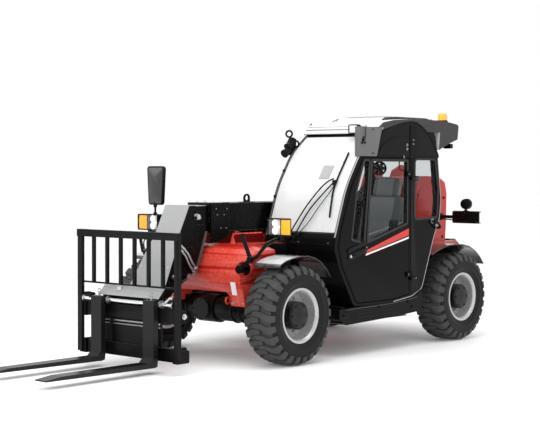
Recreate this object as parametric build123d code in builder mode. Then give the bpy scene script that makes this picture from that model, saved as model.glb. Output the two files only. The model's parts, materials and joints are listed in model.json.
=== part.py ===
from build123d import *
import os
from math import cos, sin, radians, atan2, degrees, hypot

os.makedirs("parts", exist_ok=True)

# Compact telescopic handler, millimetres.  +X forward, +Y left, +Z up.
# The origin is on the ground, in the middle of the machine's length and width.
# Every x in the tables below is counted from the FRONT AXLE; AXLE_X moves it.

# ---------------------------------------------------------------- driving sizes
AXLE_X = 350.0            # front axle in the machine's own frame
WHEELBASE = 2300.0
TYRE_R, TYRE_W = 400.0, 305.0
WIDTH = 1810.0            # over the tyres
AXLE_Z = TYRE_R
KINGPIN_Y = 600.0
KINGPIN_R = 20.0
RIM_R, RIM_W = 222.0, 256.0
FIT = 0.05                # radial play of a pin in its bore
PIVOT_PLAY = 0.4         # radial play of the carriage on its pin
GAP = 8.0                 # gap round a moving panel

BOOM_Y = -100.0           # boom centre line
BOOM_W, BOOM_Z0, BOOM_Z1 = 250.0, 1045.0, 1280.0
BOOM_WALL, BOOM_PLAY = 12.0, 8.0
INNER_W = BOOM_W - 2 * (BOOM_WALL + BOOM_PLAY)
INNER_Z0, INNER_Z1 = BOOM_Z0 + BOOM_WALL + BOOM_PLAY, BOOM_Z1 - BOOM_WALL - BOOM_PLAY
PIVOT = (-2400.0, 1400.0)         # boom pivot, x and z
PIVOT_R = 35.0
LIFT_BASE = (-2200.0, 650.0)      # lift cylinder, lower pin
LIFT_HEAD = (-1100.0, 940.0)      # lift cylinder, rod eye under the boom
TILT = (860.0, 265.0)             # carriage pivot
TILT_BASE = (380.0, 900.0)        # tilt cylinder, upper pin
TILT_LUG = (839.2, 383.2)         # tilt cylinder, rod eye on the carriage
PIN_R = 22.0

CHEEK_OUT, CHEEK_IN, CHEEK_T = 60.0, -285.0, 25.0   # frame side plates, outer faces
CAB_Y0, CAB_Y1, CAB_WALL = 72.0, 845.0, 40.0
HINGE_X, HINGE_Y = -1537.0, 857.0        # cab door hinge
HOOD_HINGE = (-275.0, 1162.0)             # engine hood hinge, y and z
HEAD_W = 137.0                            # half width of the boom head
HOOD_Y0, HOOD_Y1, HOOD_TOP, HOOD_T = -850.0, -298.0, 1150.0, 30.0
HOOD_X0, HOOD_X1, HOOD_Z0 = -1760.0, -540.0, 560.0
FENDER_Y0, FENDER_Y1, FENDER_T = 580.0, 845.0, 10.0


# ---------------------------------------------------------------- small helpers
def profile(points, y, radius):
    """Face in the XZ plane through y, from (x, z) points, corners rounded."""
    with BuildSketch(Plane(origin=(AXLE_X, y, 0), x_dir=(1, 0, 0), z_dir=(0, -1, 0))) as outline:
        with BuildLine():
            if radius:
                FilletPolyline(*points, radius=radius, close=True)
            else:
                Polyline(*points, close=True)
        make_face()
    return outline.sketch


def plate(points, y0, y1, mode=Mode.ADD, radius=0):
    """Plate with an XZ outline, between y0 and y1."""
    extrude(profile(points, y1, radius), amount=y1 - y0, mode=mode)


def slab(points, x0, x1, mode=Mode.ADD, radius=0):
    """Plate with a YZ outline, between x0 and x1."""
    with BuildSketch(Plane(origin=(AXLE_X + x0, 0, 0), x_dir=(0, 1, 0), z_dir=(1, 0, 0))) as outline:
        with BuildLine():
            if radius:
                FilletPolyline(*points, radius=radius, close=True)
            else:
                Polyline(*points, close=True)
        make_face()
    extrude(outline.sketch, amount=x1 - x0, mode=mode)


def block(x0, x1, y0, y1, z0, z1, mode=Mode.ADD):
    """Plain box between two corners."""
    with Locations((AXLE_X + (x0 + x1) / 2, (y0 + y1) / 2, (z0 + z1) / 2)):
        Box(x1 - x0, y1 - y0, z1 - z0, mode=mode)


def bar(p, q, radius, mode=Mode.ADD):
    """Round bar from p to q."""
    a = Vector(p[0] + AXLE_X, p[1], p[2])
    b = Vector(q[0] + AXLE_X, q[1], q[2])
    with BuildSketch(Plane(origin=a, z_dir=(b - a).normalized())) as disc:
        Circle(radius)
    extrude(disc.sketch, amount=(b - a).length, mode=mode)


def cross_pin(x, z, y0, y1, radius, mode=Mode.ADD):
    """Round bar along Y."""
    bar((x, y0, z), (x, y1, z), radius, mode)


def tube(points, radius, bend):
    """Bent round tube through the points."""
    path_points = [(x + AXLE_X, y, z) for x, y, z in points]
    with BuildLine() as path:
        FilletPolyline(*path_points, radius=bend)
    start = Vector(*path_points[0])
    with BuildSketch(Plane(origin=start, z_dir=(Vector(*path_points[1]) - start).normalized())) as disc:
        Circle(radius)
    sweep(disc.sketch, path=path.line)


def save(name, part):
    part.label = name
    export_step(part, "parts/" + name + ".step")


# ================================================================ main frame
FRAME_SIDE = [(-2750, 560), (-2750, 1000), (-2640, 1300), (-2590, 1560), (-2480, 1620), (-2340, 1560),
              (-2200, 1240), (-2120, 1010), (-455, 1010), (-455, 470), (-560, 330), (-1780, 330), (-1920, 520)]

with BuildPart() as chassis_frame:
    for y0, y1 in ((CHEEK_OUT - CHEEK_T, CHEEK_OUT), (CHEEK_IN, CHEEK_IN + CHEEK_T)):
        plate(FRAME_SIDE, y0, y1, radius=30)
    # cross pieces between the side plates:  x0, x1, z0, z1
    for x0, x1, z0, z1 in ((-1780, -560, 330, 350), (-700, -600, 350, 450), (-1450, -1350, 350, 450),
                           (-2750, -2725, 560, 1000), (-2500, -2080, 560, 585)):
        block(x0, x1, CHEEK_IN + CHEEK_T, CHEEK_OUT - CHEEK_T, z0, z1)
    # outriggers that carry the cab and the engine bay:  x0, x1, y0, y1
    for x0, x1, y0, y1 in ((-700, -600, CHEEK_OUT, 420), (-1500, -1400, CHEEK_OUT, 420),
                           (-700, -600, -420, CHEEK_IN), (-1500, -1400, -420, CHEEK_IN)):
        block(x0, x1, y0, y1, 340, 400)
    # seats of the rear axle
    for y0, y1 in ((CHEEK_OUT, 330), (-330, CHEEK_IN)):
        block(-2380, -2220, y0, y1, 520, 545)
        block(-2380, -2220, y0, y1, 545, 640)
    for y in (CHEEK_OUT + 6, CHEEK_IN - 6):
        cross_pin(PIVOT[0], PIVOT[1], y - 8, y + 8, 75)
    # hood hinge brackets with their pins:  x0, x1 of the pin, x of the bracket
    for x0, x1, xb in ((-1560, -1490, -1560), (-810, -740, -760)):
        block(xb, xb + 20, CHEEK_IN, CHEEK_IN + 20, 990, HOOD_HINGE[1] + 10)
        bar((x0, HOOD_HINGE[0], HOOD_HINGE[1]), (x1, HOOD_HINGE[0], HOOD_HINGE[1]), 8)
    # lower pin of the lift cylinder
    cross_pin(LIFT_BASE[0], LIFT_BASE[1], CHEEK_IN - 10, CHEEK_OUT + 8, PIN_R)
    cross_pin(PIVOT[0], PIVOT[1], -400, 200, PIVOT_R + FIT, mode=Mode.SUBTRACT)

# sculpted nose over the front axle: a front view outline cut to a side view outline
NOSE_BACK = -455.0
NOSE_FRONT = [(-295, 568), (295, 568), (322, 540), (322, 456), (478, 456), (478, 560), (462, 640), (470, 760),
              (520, 830), (560, 880), (548, 912), (430, 945), (-430, 945), (-548, 912), (-560, 880), (-520, 830),
              (-470, 760), (-462, 640), (-478, 560), (-478, 456), (-322, 456), (-322, 540)]
NOSE_SIDE = [(NOSE_BACK, 520), (95, 520), (95, 448), (212, 448), (232, 545), (256, 640), (262, 720), (246, 800),
             (205, 872), (140, 926), (60, 952), (NOSE_BACK, 960)]

with BuildPart() as front_chassis:
    slab(NOSE_FRONT, NOSE_BACK - 20, 300, radius=[14, 14, 12, 12, 12, 20, 30, 40, 40, 12, 12, 60, 60, 12, 12, 40, 40, 30, 20, 12, 12, 12])
    plate(NOSE_SIDE, -600, 600, mode=Mode.INTERSECT, radius=[12, 12, 12, 12, 60, 60, 60, 60, 60, 60, 60, 12])
    # trough for the lift cylinder and room over the axle's ends
    block(-490, -60, CHEEK_IN + CHEEK_T, CHEEK_OUT - CHEEK_T, 600, 1100, mode=Mode.SUBTRACT)
    for side in (-1, 1):
        # stepped back behind the wheel so that it can steer
        block(-490, -235, *sorted((side * 385, side * 600)), 440, 812, mode=Mode.SUBTRACT)
        block(-490, -60, *sorted((side * 335, side * 600)), 812, 1100, mode=Mode.SUBTRACT)
        block(-490, 90, *sorted((side * 345, side * 600)), 440, 568, mode=Mode.SUBTRACT)
        # round boss pocket for the lamp arm
        bar((170, side * 475, 764), (300, side * 475, 764), 60, mode=Mode.SUBTRACT)
        # feet on the axle
        block(40, 150, *sorted((side * 292, side * 330)), 508, 575)
    # upright plates beside the boom
    for y0, y1 in ((CHEEK_OUT - CHEEK_T, CHEEK_OUT), (CHEEK_IN, CHEEK_IN + CHEEK_T)):
        plate([(NOSE_BACK, 935), (NOSE_BACK, 1028), (-110, 1028), (-78, 935)], y0, y1)

with BuildPart() as rear_counterweight:
    slab([(-480, 560), (-380, 430), (380, 430), (480, 560), (480, 850), (430, 900), (-430, 900), (-480, 850)],
         -2850, -2755, radius=30)
    # jaws of the hitch, with the gap for a drawbar eye and a recess over them
    block(-2900, -2775, -70, 70, 490, 545, mode=Mode.SUBTRACT)
    block(-2900, -2800, -70, 70, 600, 700, mode=Mode.SUBTRACT)
    block(-2850, -2775, -70, 70, 545, 600)
    bar((-2810, 0, 400), (-2810, 0, 640), 17, mode=Mode.SUBTRACT)

# bulky covers either side of the frame over the rear axle:  name part, y0, y1, outline
LEFT_COVER = [(-2650, 860), (-2665, 1060), (-2672, 1345), (-2640, 1450), (-2534, 1500), (-2300, 1510), (-2170, 1430), (-2120, 1250), (-2120, 860)]
RIGHT_COVER = [(-2690, 860), (-2710, 1080), (-2640, 1170), (-1900, 1170), (-1850, 1100), (-1850, 900), (-1900, 860)]
with BuildPart() as fuel_tank_cover:
    plate(LEFT_COVER, CHEEK_OUT + 20, 450, radius=45)
    block(-2680, -2130, CHEEK_OUT + 20, 565, 860, 890)
    bar((-2570, 440, 1122), (-2570, 601, 1122), 14)
with BuildPart() as hydraulic_tank:
    plate(RIGHT_COVER, -560, CHEEK_IN - 20, radius=40)
    bar((-2570, -601, 1122), (-2570, -540, 1122), 14)

# ================================================================ axles, knuckles, wheels
AXLES = {"front": 0.0, "rear": -WHEELBASE}        # name: x
axles = {}
for axle_name, x in AXLES.items():
    with BuildPart() as axle:
        cross_pin(x, AXLE_Z, -440, 440, 100)
        cross_pin(x, AXLE_Z, -210, 10, 118)
        # square pads the frame stands on
        block(x - 75, x + 75, -330, -285, AXLE_Z, 508 if x == 0 else 520)
        block(x - 75, x + 75, 285, 330, AXLE_Z, 508 if x == 0 else 520)
        for side in (-1, 1):
            lo, hi = sorted((side * 440, side * 465))
            block(x - 70, x + 70, lo, hi, AXLE_Z - 150, AXLE_Z + 150)
            for z0, z1 in ((AXLE_Z + 122, AXLE_Z + 150), (AXLE_Z - 150, AXLE_Z - 122)):
                lo, hi = sorted((side * 440, side * 648))
                block(x - 48, x + 48, lo, hi, z0, z1)
            bar((x, side * KINGPIN_Y, AXLE_Z - 200), (x, side * KINGPIN_Y, AXLE_Z + 200), KINGPIN_R + FIT,
                mode=Mode.SUBTRACT)
        # steering cylinder behind the beam
        cross_pin(x - 165, AXLE_Z + 10, -240, 240, 32)
        block(x - 170, x - 90, -60, 60, AXLE_Z - 30, AXLE_Z + 50)
    axles[axle_name] = axle
    save(axle_name + "_axle", axle.part)

CORNERS = {"fl": (0.0, 1), "fr": (0.0, -1), "rl": (-WHEELBASE, 1), "rr": (-WHEELBASE, -1)}   # name: x, side
RIM_OUT = WIDTH / 2 - 19.0        # outer face of the rim flange
RIM_IN = RIM_OUT - RIM_W
SPINDLE_R = 28.0

# half sections, (distance from the middle of the machine, radius)
RIM_SECTION = [(RIM_IN, 222), (RIM_IN, 192), (740, 192), (740, SPINDLE_R + FIT), (770, SPINDLE_R + FIT),
               (770, 0), (872, 0), (872, 70), (856, 100), (780, 112), (768, 120), (756, 150), (756, 192),
               (870, 192), (RIM_OUT, 206), (RIM_OUT, 222), (RIM_OUT - 8, 222), (RIM_OUT - 10, 203),
               (RIM_IN + 10, 203), (RIM_IN + 8, 222)]
TYRE_SECTION = [(RIM_IN + 10, 203.2), (RIM_OUT - 10, 203.2), (RIM_OUT - 8.3, 223), (890, 243), (905, 280), (905, 318), (893, 366),
                (868, 393), (752, 400), (637, 393), (612, 366), (600, 318), (600, 280), (620, 243), (RIM_IN + 8.3, 223)]

for corner, (x, side) in CORNERS.items():
    with BuildPart() as knuckle:
        bar((x, side * KINGPIN_Y, AXLE_Z - 148), (x, side * KINGPIN_Y, AXLE_Z + 148), KINGPIN_R)
        bar((x, side * KINGPIN_Y, AXLE_Z - 114), (x, side * KINGPIN_Y, AXLE_Z + 114), 66)
        cross_pin(x, AXLE_Z, *sorted((side * KINGPIN_Y, side * 700)), 88)
        cross_pin(x, AXLE_Z, *sorted((side * 700, side * 732)), 118)
        cross_pin(x, AXLE_Z, *sorted((side * 730, side * 768)), SPINDLE_R)
        block(x - 130, x - 20, *sorted((side * 575, side * 625)), AXLE_Z - 16, AXLE_Z + 24)
    save("knuckle_" + corner, knuckle.part)
    for piece, section in (("rim", RIM_SECTION), ("tyre", TYRE_SECTION)):
        with BuildPart() as turned:
            with BuildSketch(Plane(origin=(AXLE_X + x, 0, AXLE_Z), x_dir=(0, side, 0), z_dir=(side, 0, 0))) as half:
                with BuildLine():
                    Polyline(*section, close=True)
                make_face()
            revolve(half.sketch, axis=Axis((AXLE_X + x, 0, AXLE_Z), (0, 1, 0)))
        save(piece + "_" + corner, turned.part)

# fenders: outer line (x, z), front and rear
FENDERS = [
    [(208, 796), (196, 818), (140, 842), (60, 860), (-40, 872), (-140, 870), (-230, 850), (-310, 808), (-375, 752), (-420, 690)],
    [(-1868, 806), (-1950, 838), (-2050, 866), (-2140, 882), (-2240, 886), (-2360, 880), (-2475, 858), (-2580, 808), (-2655, 752), (-2712, 690)],
]
with BuildPart() as fenders:
    for line in FENDERS:
        inner = [(x, z - FENDER_T) for x, z in reversed(line)]
        for y0, y1 in ((FENDER_Y0, FENDER_Y1), (-FENDER_Y1, -FENDER_Y0)):
            plate(line + inner, y0, y1)
    # brackets to the nose and to the tank covers:  x0, x1, y0, z0, z1
    for x0, x1, y0, z0, z1 in ((-130, -70, 548, 853, 863), (-2320, -2220, 565, 862, 872)):
        block(x0, x1, y0, FENDER_Y0 + 5, z0, z1)
        block(x0, x1, -FENDER_Y0 - 5, -y0 if y0 == 548 else -560, z0, z1)

# ================================================================ cab
# outline of the cab from the side: x, z, corner radius
CAB_SIDE = [(-480, 1000, 30), (-630, 1420, 900), (-820, 1710, 600), (-1070, 1900, 60), (-1900, 1900, 60),
            (-1950, 1650, 300), (-2000, 1300, 300), (-1980, 1130, 200), (-1890, 960, 100), (-1710, 510, 80),
            (-1560, 450, 60), (-1290, 420, 60), (-730, 420, 60), (-535, 740, 60), (-470, 900, 60)]
CAB_LINE = [(x, z) for x, z, r in CAB_SIDE]
CAB_RADII = [r for x, z, r in CAB_SIDE]
DOOR_LINE = [(-1529, 480), (-1290, 446), (-765, 446), (-566, 770), (-520, 930), (-560, 1080), (-690, 1420),
             (-848, 1664), (-1529, 1664)]
DOOR_R = [20, 60, 60, 60, 60, 60, 250, 40, 20]
QUARTER = [(-1600, 1133), (-1935, 1143), (-1952, 1391), (-1900, 1655), (-1600, 1655)]
# black cover over the door, under the roof's rim
ARCH = [(-1020, 1672), (-1090, 1900), (-1270, 1946), (-1400, 1975), (-1533, 1990), (-1620, 1980), (-1700, 1950),
        (-1790, 1890), (-1873, 1800), (-1935, 1712), (-1948, 1672)]
SIDE_GLASS = [(-640, 1070), (-1830, 1070), (-1890, 1250), (-1850, 1840), (-1060, 1840), (-850, 1660), (-720, 1440)]
SCREEN_BOX = [(-300, 1040), (-515, 1040), (-760, 1500), (-1020, 1868), (-900, 2000), (-300, 2000)]
REAR_BOX = [(-1850, 1120), (-2100, 1120), (-2100, 1800), (-1850, 1800)]


def cab_band(outer, inner, y0, y1):
    """Ring between two inward offsets of the cab outline."""
    with BuildSketch(Plane(origin=(AXLE_X, y1, 0), x_dir=(1, 0, 0), z_dir=(0, -1, 0))) as ring:
        with BuildLine():
            FilletPolyline(*CAB_LINE, radius=CAB_RADII, close=True)
        make_face()
        if outer:
            offset(amount=-outer, mode=Mode.REPLACE)
        offset(amount=-(inner - outer), mode=Mode.SUBTRACT)
    extrude(ring.sketch, amount=y1 - y0)


def cab_room(y0, y1, inset, mode):
    """The cab outline moved inwards, between y0 and y1."""
    with BuildSketch(Plane(origin=(AXLE_X, y1, 0), x_dir=(1, 0, 0), z_dir=(0, -1, 0))) as room:
        with BuildLine():
            FilletPolyline(*CAB_LINE, radius=CAB_RADII, close=True)
        make_face()
        offset(amount=-inset, mode=Mode.REPLACE)
    extrude(room.sketch, amount=y1 - y0, mode=mode)


with BuildPart() as cab_frame:
    plate(CAB_LINE, CAB_Y0, CAB_Y1, radius=CAB_RADII)
    cab_room(CAB_Y0 + CAB_WALL, CAB_Y1 - CAB_WALL, CAB_WALL, Mode.SUBTRACT)
    # open top under the roof
    block(-1850, -1090, CAB_Y0 + CAB_WALL, CAB_Y1 - CAB_WALL, 1820, 1920, mode=Mode.SUBTRACT)
    plate(SCREEN_BOX, CAB_Y0 + 14, CAB_Y1 - 14, mode=Mode.SUBTRACT)
    plate(REAR_BOX, CAB_Y0 + 50, CAB_Y1 - 60, mode=Mode.SUBTRACT)
    plate(QUARTER, CAB_Y1 - CAB_WALL - 5, CAB_Y1 + 5, mode=Mode.SUBTRACT, radius=30)
    plate(SIDE_GLASS, CAB_Y0 - 5, CAB_Y0 + CAB_WALL + 5, mode=Mode.SUBTRACT, radius=30)
    # doorway, wider than the door all round
    with BuildSketch(Plane(origin=(AXLE_X, CAB_Y1 + 5, 0), x_dir=(1, 0, 0), z_dir=(0, -1, 0))) as doorway:
        with BuildLine():
            FilletPolyline(*DOOR_LINE, radius=DOOR_R, close=True)
        make_face()
        offset(amount=GAP, mode=Mode.REPLACE)
    extrude(doorway.sketch, amount=CAB_WALL + 10, mode=Mode.SUBTRACT)
    plate(ARCH, CAB_Y1 - 5, CAB_Y1 + 12, radius=10)
    # fixed halves of the door hinges with their pins:  z0, z1 of the knuckle, z of the pin's other end
    for z0, z1, z2 in ((600, 625, 672), (1480, 1505, 1552)):
        block(-1600, HINGE_X, CAB_Y1 - 3, HINGE_Y + 4, z0, z1)
        bar((HINGE_X, HINGE_Y, z0), (HINGE_X, HINGE_Y, z1), 12)
        bar((HINGE_X, HINGE_Y, z0), (HINGE_X, HINGE_Y, z2), 6)

with BuildPart() as windshield:
    cab_band(3, 9, CAB_Y0 + 14, CAB_Y1 - 14)
    plate(SCREEN_BOX, CAB_Y0 + 14, CAB_Y1 - 14, mode=Mode.INTERSECT)

with BuildPart() as cab_windows:
    cab_band(5, 11, CAB_Y0 + 50, CAB_Y1 - 60)
    plate(REAR_BOX, CAB_Y0 + 50, CAB_Y1 - 60, mode=Mode.INTERSECT)
    plate(QUARTER, CAB_Y1 - 10, CAB_Y1 - 4, radius=30)
    plate(SIDE_GLASS, CAB_Y0 + 4, CAB_Y0 + 10, radius=30)

ROOF = [(-1010, 1868), (-1040, 1925), (-1110, 1970), (-1260, 1994), (-1500, 2010), (-2010, 2010), (-2241, 1982),
        (-2262, 1965), (-2246, 1845), (-2107, 1803), (-1945, 1742), (-1960, 1901), (-1085, 1901)]
with BuildPart() as cab_roof:
    plate(ROOF, CAB_Y0 - 12, CAB_Y1 + 12, radius=6)
    # raised middle panel and the beacon's pad
    plate([(-1240, 1970), (-1330, 2022), (-1500, 2034), (-1960, 2034), (-2120, 2010), (-2160, 1970)], 190, 700, radius=20)
    bar((-2155, 750, 1975), (-2155, 750, 2004), 56)
    plate(CAB_LINE, CAB_Y0 - 20, CAB_Y1 + 20, mode=Mode.SUBTRACT, radius=CAB_RADII)
    plate([(x, z + 1.5) for x, z in ARCH], CAB_Y1 - 7, CAB_Y1 + 20, mode=Mode.SUBTRACT, radius=8)
    block(-1180, -780, CAB_Y1 - 7, CAB_Y1 + 20, 1860, 1900, mode=Mode.SUBTRACT)
    # place of the corner pod
    block(-1110, -780, 764, 880, 1860, 1930, mode=Mode.SUBTRACT)
    # hollow from below where the room is
    plate([(-1115, 1895), (-1135, 1940), (-1320, 1965), (-1600, 1985), (-1860, 1985), (-1860, 1895)],
          CAB_Y0 + CAB_WALL, 760, mode=Mode.SUBTRACT)

DOOR_T = 38.0
WINDOWS = [
    [(-704, 985), (-862, 948), (-903, 1300), (-935, 1640), (-870, 1640), (-772, 1400)],
    [(-920, 955), (-1480, 1100), (-1480, 1640), (-973, 1640)],
]
with BuildPart() as cab_door:
    plate(DOOR_LINE, CAB_Y1 - DOOR_T, CAB_Y1, radius=DOOR_R)
    for window in WINDOWS:
        plate(window, CAB_Y1 - DOOR_T - 5, CAB_Y1 + 5, mode=Mode.SUBTRACT, radius=8)
    # moving halves of the hinges
    for z0, z1 in ((627, 670), (1507, 1550)):
        block(HINGE_X, -1470, CAB_Y1 - 3, HINGE_Y + 4, z0, z1)
        bar((HINGE_X, HINGE_Y, z0), (HINGE_X, HINGE_Y, z1), 12)
        bar((HINGE_X, HINGE_Y, z0 - 1), (HINGE_X, HINGE_Y, z1 + 1), 6 + FIT, mode=Mode.SUBTRACT)
with BuildPart() as door_glass:
    for window in WINDOWS:
        plate(window, CAB_Y1 - 9, CAB_Y1 - 4, radius=8)

with BuildPart() as seat:
    block(-1500, -1150, 250, 660, 440, 600)
    cab_room(200, 700, CAB_WALL + 0.5, Mode.INTERSECT)
    block(-1620, -1110, 215, 695, 600, 720)
    plate([(-1500, 720), (-1620, 720), (-1760, 1330), (-1690, 1350), (-1610, 1300)], 225, 685, radius=25)
with BuildPart() as dashboard:
    plate([(-560, 560), (-640, 560), (-720, 900), (-700, 985), (-560, 985), (-540, 900)], 130, 780, radius=20)
    block(-700, -600, 400, 520, 450, 600)
    bar((-650, 455, 915), (-850, 455, 1057), 33, mode=Mode.SUBTRACT)
    cab_room(100, 800, CAB_WALL + 0.5, Mode.INTERSECT)
with BuildPart() as steering_wheel:
    bar((-700, 455, 950), (-831, 455, 1041), 32)
    with BuildSketch(Plane(origin=(AXLE_X - 825, 455, 1038), x_dir=(0, 1, 0), z_dir=(-0.82, 0, 0.57))) as wheel_face:
        Circle(175)
        Circle(145, mode=Mode.SUBTRACT)
        Rectangle(300, 30)
        Rectangle(30, 300)
    extrude(wheel_face.sketch, amount=24)

with BuildPart() as side_step:
    plate([(-540, 405), (-1560, 440), (-1720, 500), (-1750, 400), (-1700, 312), (-1385, 292), (-640, 268), (-540, 320)],
          430, 845, radius=12)
    plate(CAB_LINE, 400, 900, mode=Mode.SUBTRACT, radius=CAB_RADII)

# ================================================================ engine side
with BuildPart() as engine_block:
    block(-1650, -900, -770, -345, 440, 1040)
with BuildPart() as engine_tray:
    block(HOOD_X0, HOOD_X1, HOOD_Y0, -300, 400, 430)
    block(HOOD_X0, HOOD_X1, HOOD_Y0, HOOD_Y0 + HOOD_T, 430, HOOD_Z0 - GAP)
    for x in (HOOD_X0, HOOD_X1 - HOOD_T):
        block(x, x + HOOD_T, HOOD_Y0 + HOOD_T, -300, 430, HOOD_Z0 - GAP)
with BuildPart() as engine_hood:
    HOOD_LINE = [(HOOD_Y1, HOOD_Z0), (HOOD_Y1, HOOD_TOP), (-720, HOOD_TOP), (HOOD_Y0, HOOD_TOP - 120), (HOOD_Y0, HOOD_Z0)]
    ROOM_LINE = [(HOOD_Y1 + 50, HOOD_Z0 - 50), (HOOD_Y1 + 50, HOOD_TOP - HOOD_T), (-710, HOOD_TOP - HOOD_T),
                 (HOOD_Y0 + HOOD_T, HOOD_TOP - 130), (HOOD_Y0 + HOOD_T, HOOD_Z0 - 50)]
    slab(HOOD_LINE, HOOD_X0, HOOD_X1, radius=20)
    slab(ROOM_LINE, HOOD_X0 + HOOD_T, HOOD_X1 - HOOD_T, mode=Mode.SUBTRACT)
    # hinge knuckles:  x0, x1
    for x0, x1 in ((-1535, -1492), (-808, -765)):
        slab([(-330, HOOD_TOP - 20), (-330, HOOD_TOP + 8), (HOOD_HINGE[0], HOOD_HINGE[1] + 14), (HOOD_HINGE[0], HOOD_HINGE[1] - 14),
              (-296, HOOD_TOP - 14)], x0, x1)
        bar((x0, HOOD_HINGE[0], HOOD_HINGE[1]), (x1, HOOD_HINGE[0], HOOD_HINGE[1]), 14)
        bar((x0 - 1, HOOD_HINGE[0], HOOD_HINGE[1]), (x1 + 1, HOOD_HINGE[0], HOOD_HINGE[1]), 8 + FIT, mode=Mode.SUBTRACT)
with BuildPart() as exhaust_pipe:
    bar((-1800, -420, 900), (-1800, -420, 1180), 30)
    bar((-1800, -420, 1180), (-1800, -420, 1300), 24)
    block(-1850, -1825, -430, -410, 1000, 1020)

# ================================================================ boom
boom_y0, boom_y1 = BOOM_Y - BOOM_W / 2, BOOM_Y + BOOM_W / 2
with BuildPart() as outer_boom:
    block(-2300, 140, boom_y0, boom_y1, BOOM_Z0, BOOM_Z1)
    # collar with deep cheeks at the mouth
    block(-61, 150, boom_y0 - 14, boom_y1 + 14, BOOM_Z0 - 10, BOOM_Z1 + 6)
    for y0, y1 in ((boom_y0 - 14, boom_y0 + 2), (boom_y1 - 2, boom_y1 + 14)):
        plate([(-61, BOOM_Z0), (-61, 1012), (60, 962), (150, 955), (150, BOOM_Z0)], y0, y1, radius=6)
    plate([(-2500, 1350), (-2480, 1470), (-2400, 1500), (-2300, 1470), (-2050, 1280), (-2050, 1240), (-2300, 1060)],
          boom_y0, boom_y1, radius=20)
    block(-2260, 220, boom_y0 + BOOM_WALL, boom_y1 - BOOM_WALL, BOOM_Z0 + BOOM_WALL, BOOM_Z1 - BOOM_WALL,
          mode=Mode.SUBTRACT)
    # lug for the lift cylinder's rod eye
    for side in (-1, 1):
        plate([(-1200, BOOM_Z0 + 2), (-1000, BOOM_Z0 + 2), (-1050, 898), (-1150, 898)],
              *sorted((BOOM_Y + side * 47, BOOM_Y + side * 65)), radius=12)
        # the pin is left out between the plates: the rod's eye drifts there
        cross_pin(LIFT_HEAD[0], LIFT_HEAD[1], *sorted((BOOM_Y + side * 45, BOOM_Y + side * 78)), PIN_R)
    # pivot pin with its heads outside the frame plates
    cross_pin(PIVOT[0], PIVOT[1], CHEEK_IN - 10, CHEEK_OUT + 10, PIVOT_R)
    for y0, y1 in ((CHEEK_IN - 22, CHEEK_IN - 14.5), (CHEEK_OUT + 14.5, CHEEK_OUT + 20)):
        cross_pin(PIVOT[0], PIVOT[1], y0, y1, 52)
        cross_pin(PIVOT[0], PIVOT[1], min(y0, CHEEK_IN), max(y1, CHEEK_IN) if y0 < 0 else y1, PIVOT_R) if y0 < 0 else \
            cross_pin(PIVOT[0], PIVOT[1], CHEEK_OUT, y1, PIVOT_R)
    # lifting eye
    block(-500, -360, BOOM_Y - 30, BOOM_Y + 30, BOOM_Z1, BOOM_Z1 + 6)
    with BuildSketch(Plane(origin=(AXLE_X - 430, BOOM_Y + 8, BOOM_Z1 + 38), x_dir=(1, 0, 0), z_dir=(0, -1, 0))) as eye:
        Circle(36)
        with Locations((0, -18)):
            Rectangle(72, 36)
        Circle(22, mode=Mode.SUBTRACT)
    extrude(eye.sketch, amount=16)

INNER_Y0, INNER_Y1 = BOOM_Y - INNER_W / 2, BOOM_Y + INNER_W / 2
HEAD_LINE = [(330, 1266), (402, 1266), (552, 962), (752, 600), (880, 400), (925, 290), (900, 210), (840, 195),
             (770, 260), (700, 420), (600, 560), (332, 738), (218, 1035), (218, 1110), (330, 1110)]
with BuildPart() as inner_boom:
    block(-2180, 402, INNER_Y0, INNER_Y1, INNER_Z0, INNER_Z1)
    block(-2200, 300, INNER_Y0 + 10, INNER_Y1 - 10, INNER_Z0 + 10, INNER_Z1 - 10, mode=Mode.SUBTRACT)
    for y0, y1 in ((BOOM_Y - HEAD_W, BOOM_Y - HEAD_W + 22), (BOOM_Y + HEAD_W - 22, BOOM_Y + HEAD_W)):
        plate(HEAD_LINE, y0, y1, radius=8)
    head_in = HEAD_W - 17
    block(340, 395, BOOM_Y - head_in, BOOM_Y + head_in, 1072, 1256)
    # back plate of the head and its closing plate under the inner tube
    plate([(222, 1030), (352, 752), (376, 752), (246, 1030)], BOOM_Y - head_in, BOOM_Y + head_in)
    block(240, 345, BOOM_Y - head_in, BOOM_Y + head_in, 1050, 1080)
    block(215, 241, BOOM_Y - head_in, BOOM_Y + head_in, 1020, 1080)
    cross_pin(TILT_BASE[0], TILT_BASE[1], BOOM_Y - HEAD_W - 8, BOOM_Y + HEAD_W + 8, PIN_R)
    cross_pin(TILT[0], TILT[1], BOOM_Y - HEAD_W - 14, BOOM_Y + HEAD_W + 14, 30)

with BuildPart() as head_cover:
    plate([(403, 1268), (553, 963), (753, 601), (760, 605), (560, 967), (411, 1271)],
          BOOM_Y - 205, BOOM_Y + 205)
    # straight above, widening below
    slab([(BOOM_Y - 205, 600), (BOOM_Y + 205, 600), (BOOM_Y + 158, 965), (BOOM_Y + HEAD_W, 1000), (BOOM_Y + HEAD_W, 1290),
          (BOOM_Y - HEAD_W, 1290), (BOOM_Y - HEAD_W, 1000), (BOOM_Y - 158, 965)], 300, 900, mode=Mode.INTERSECT)

# ================================================================ cylinders
def along(a, b, distance):
    """Point at a distance from a towards b, both (x, z)."""
    span = hypot(b[0] - a[0], b[1] - a[1])
    return (a[0] + (b[0] - a[0]) * distance / span, a[1] + (b[1] - a[1]) * distance / span)


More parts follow.
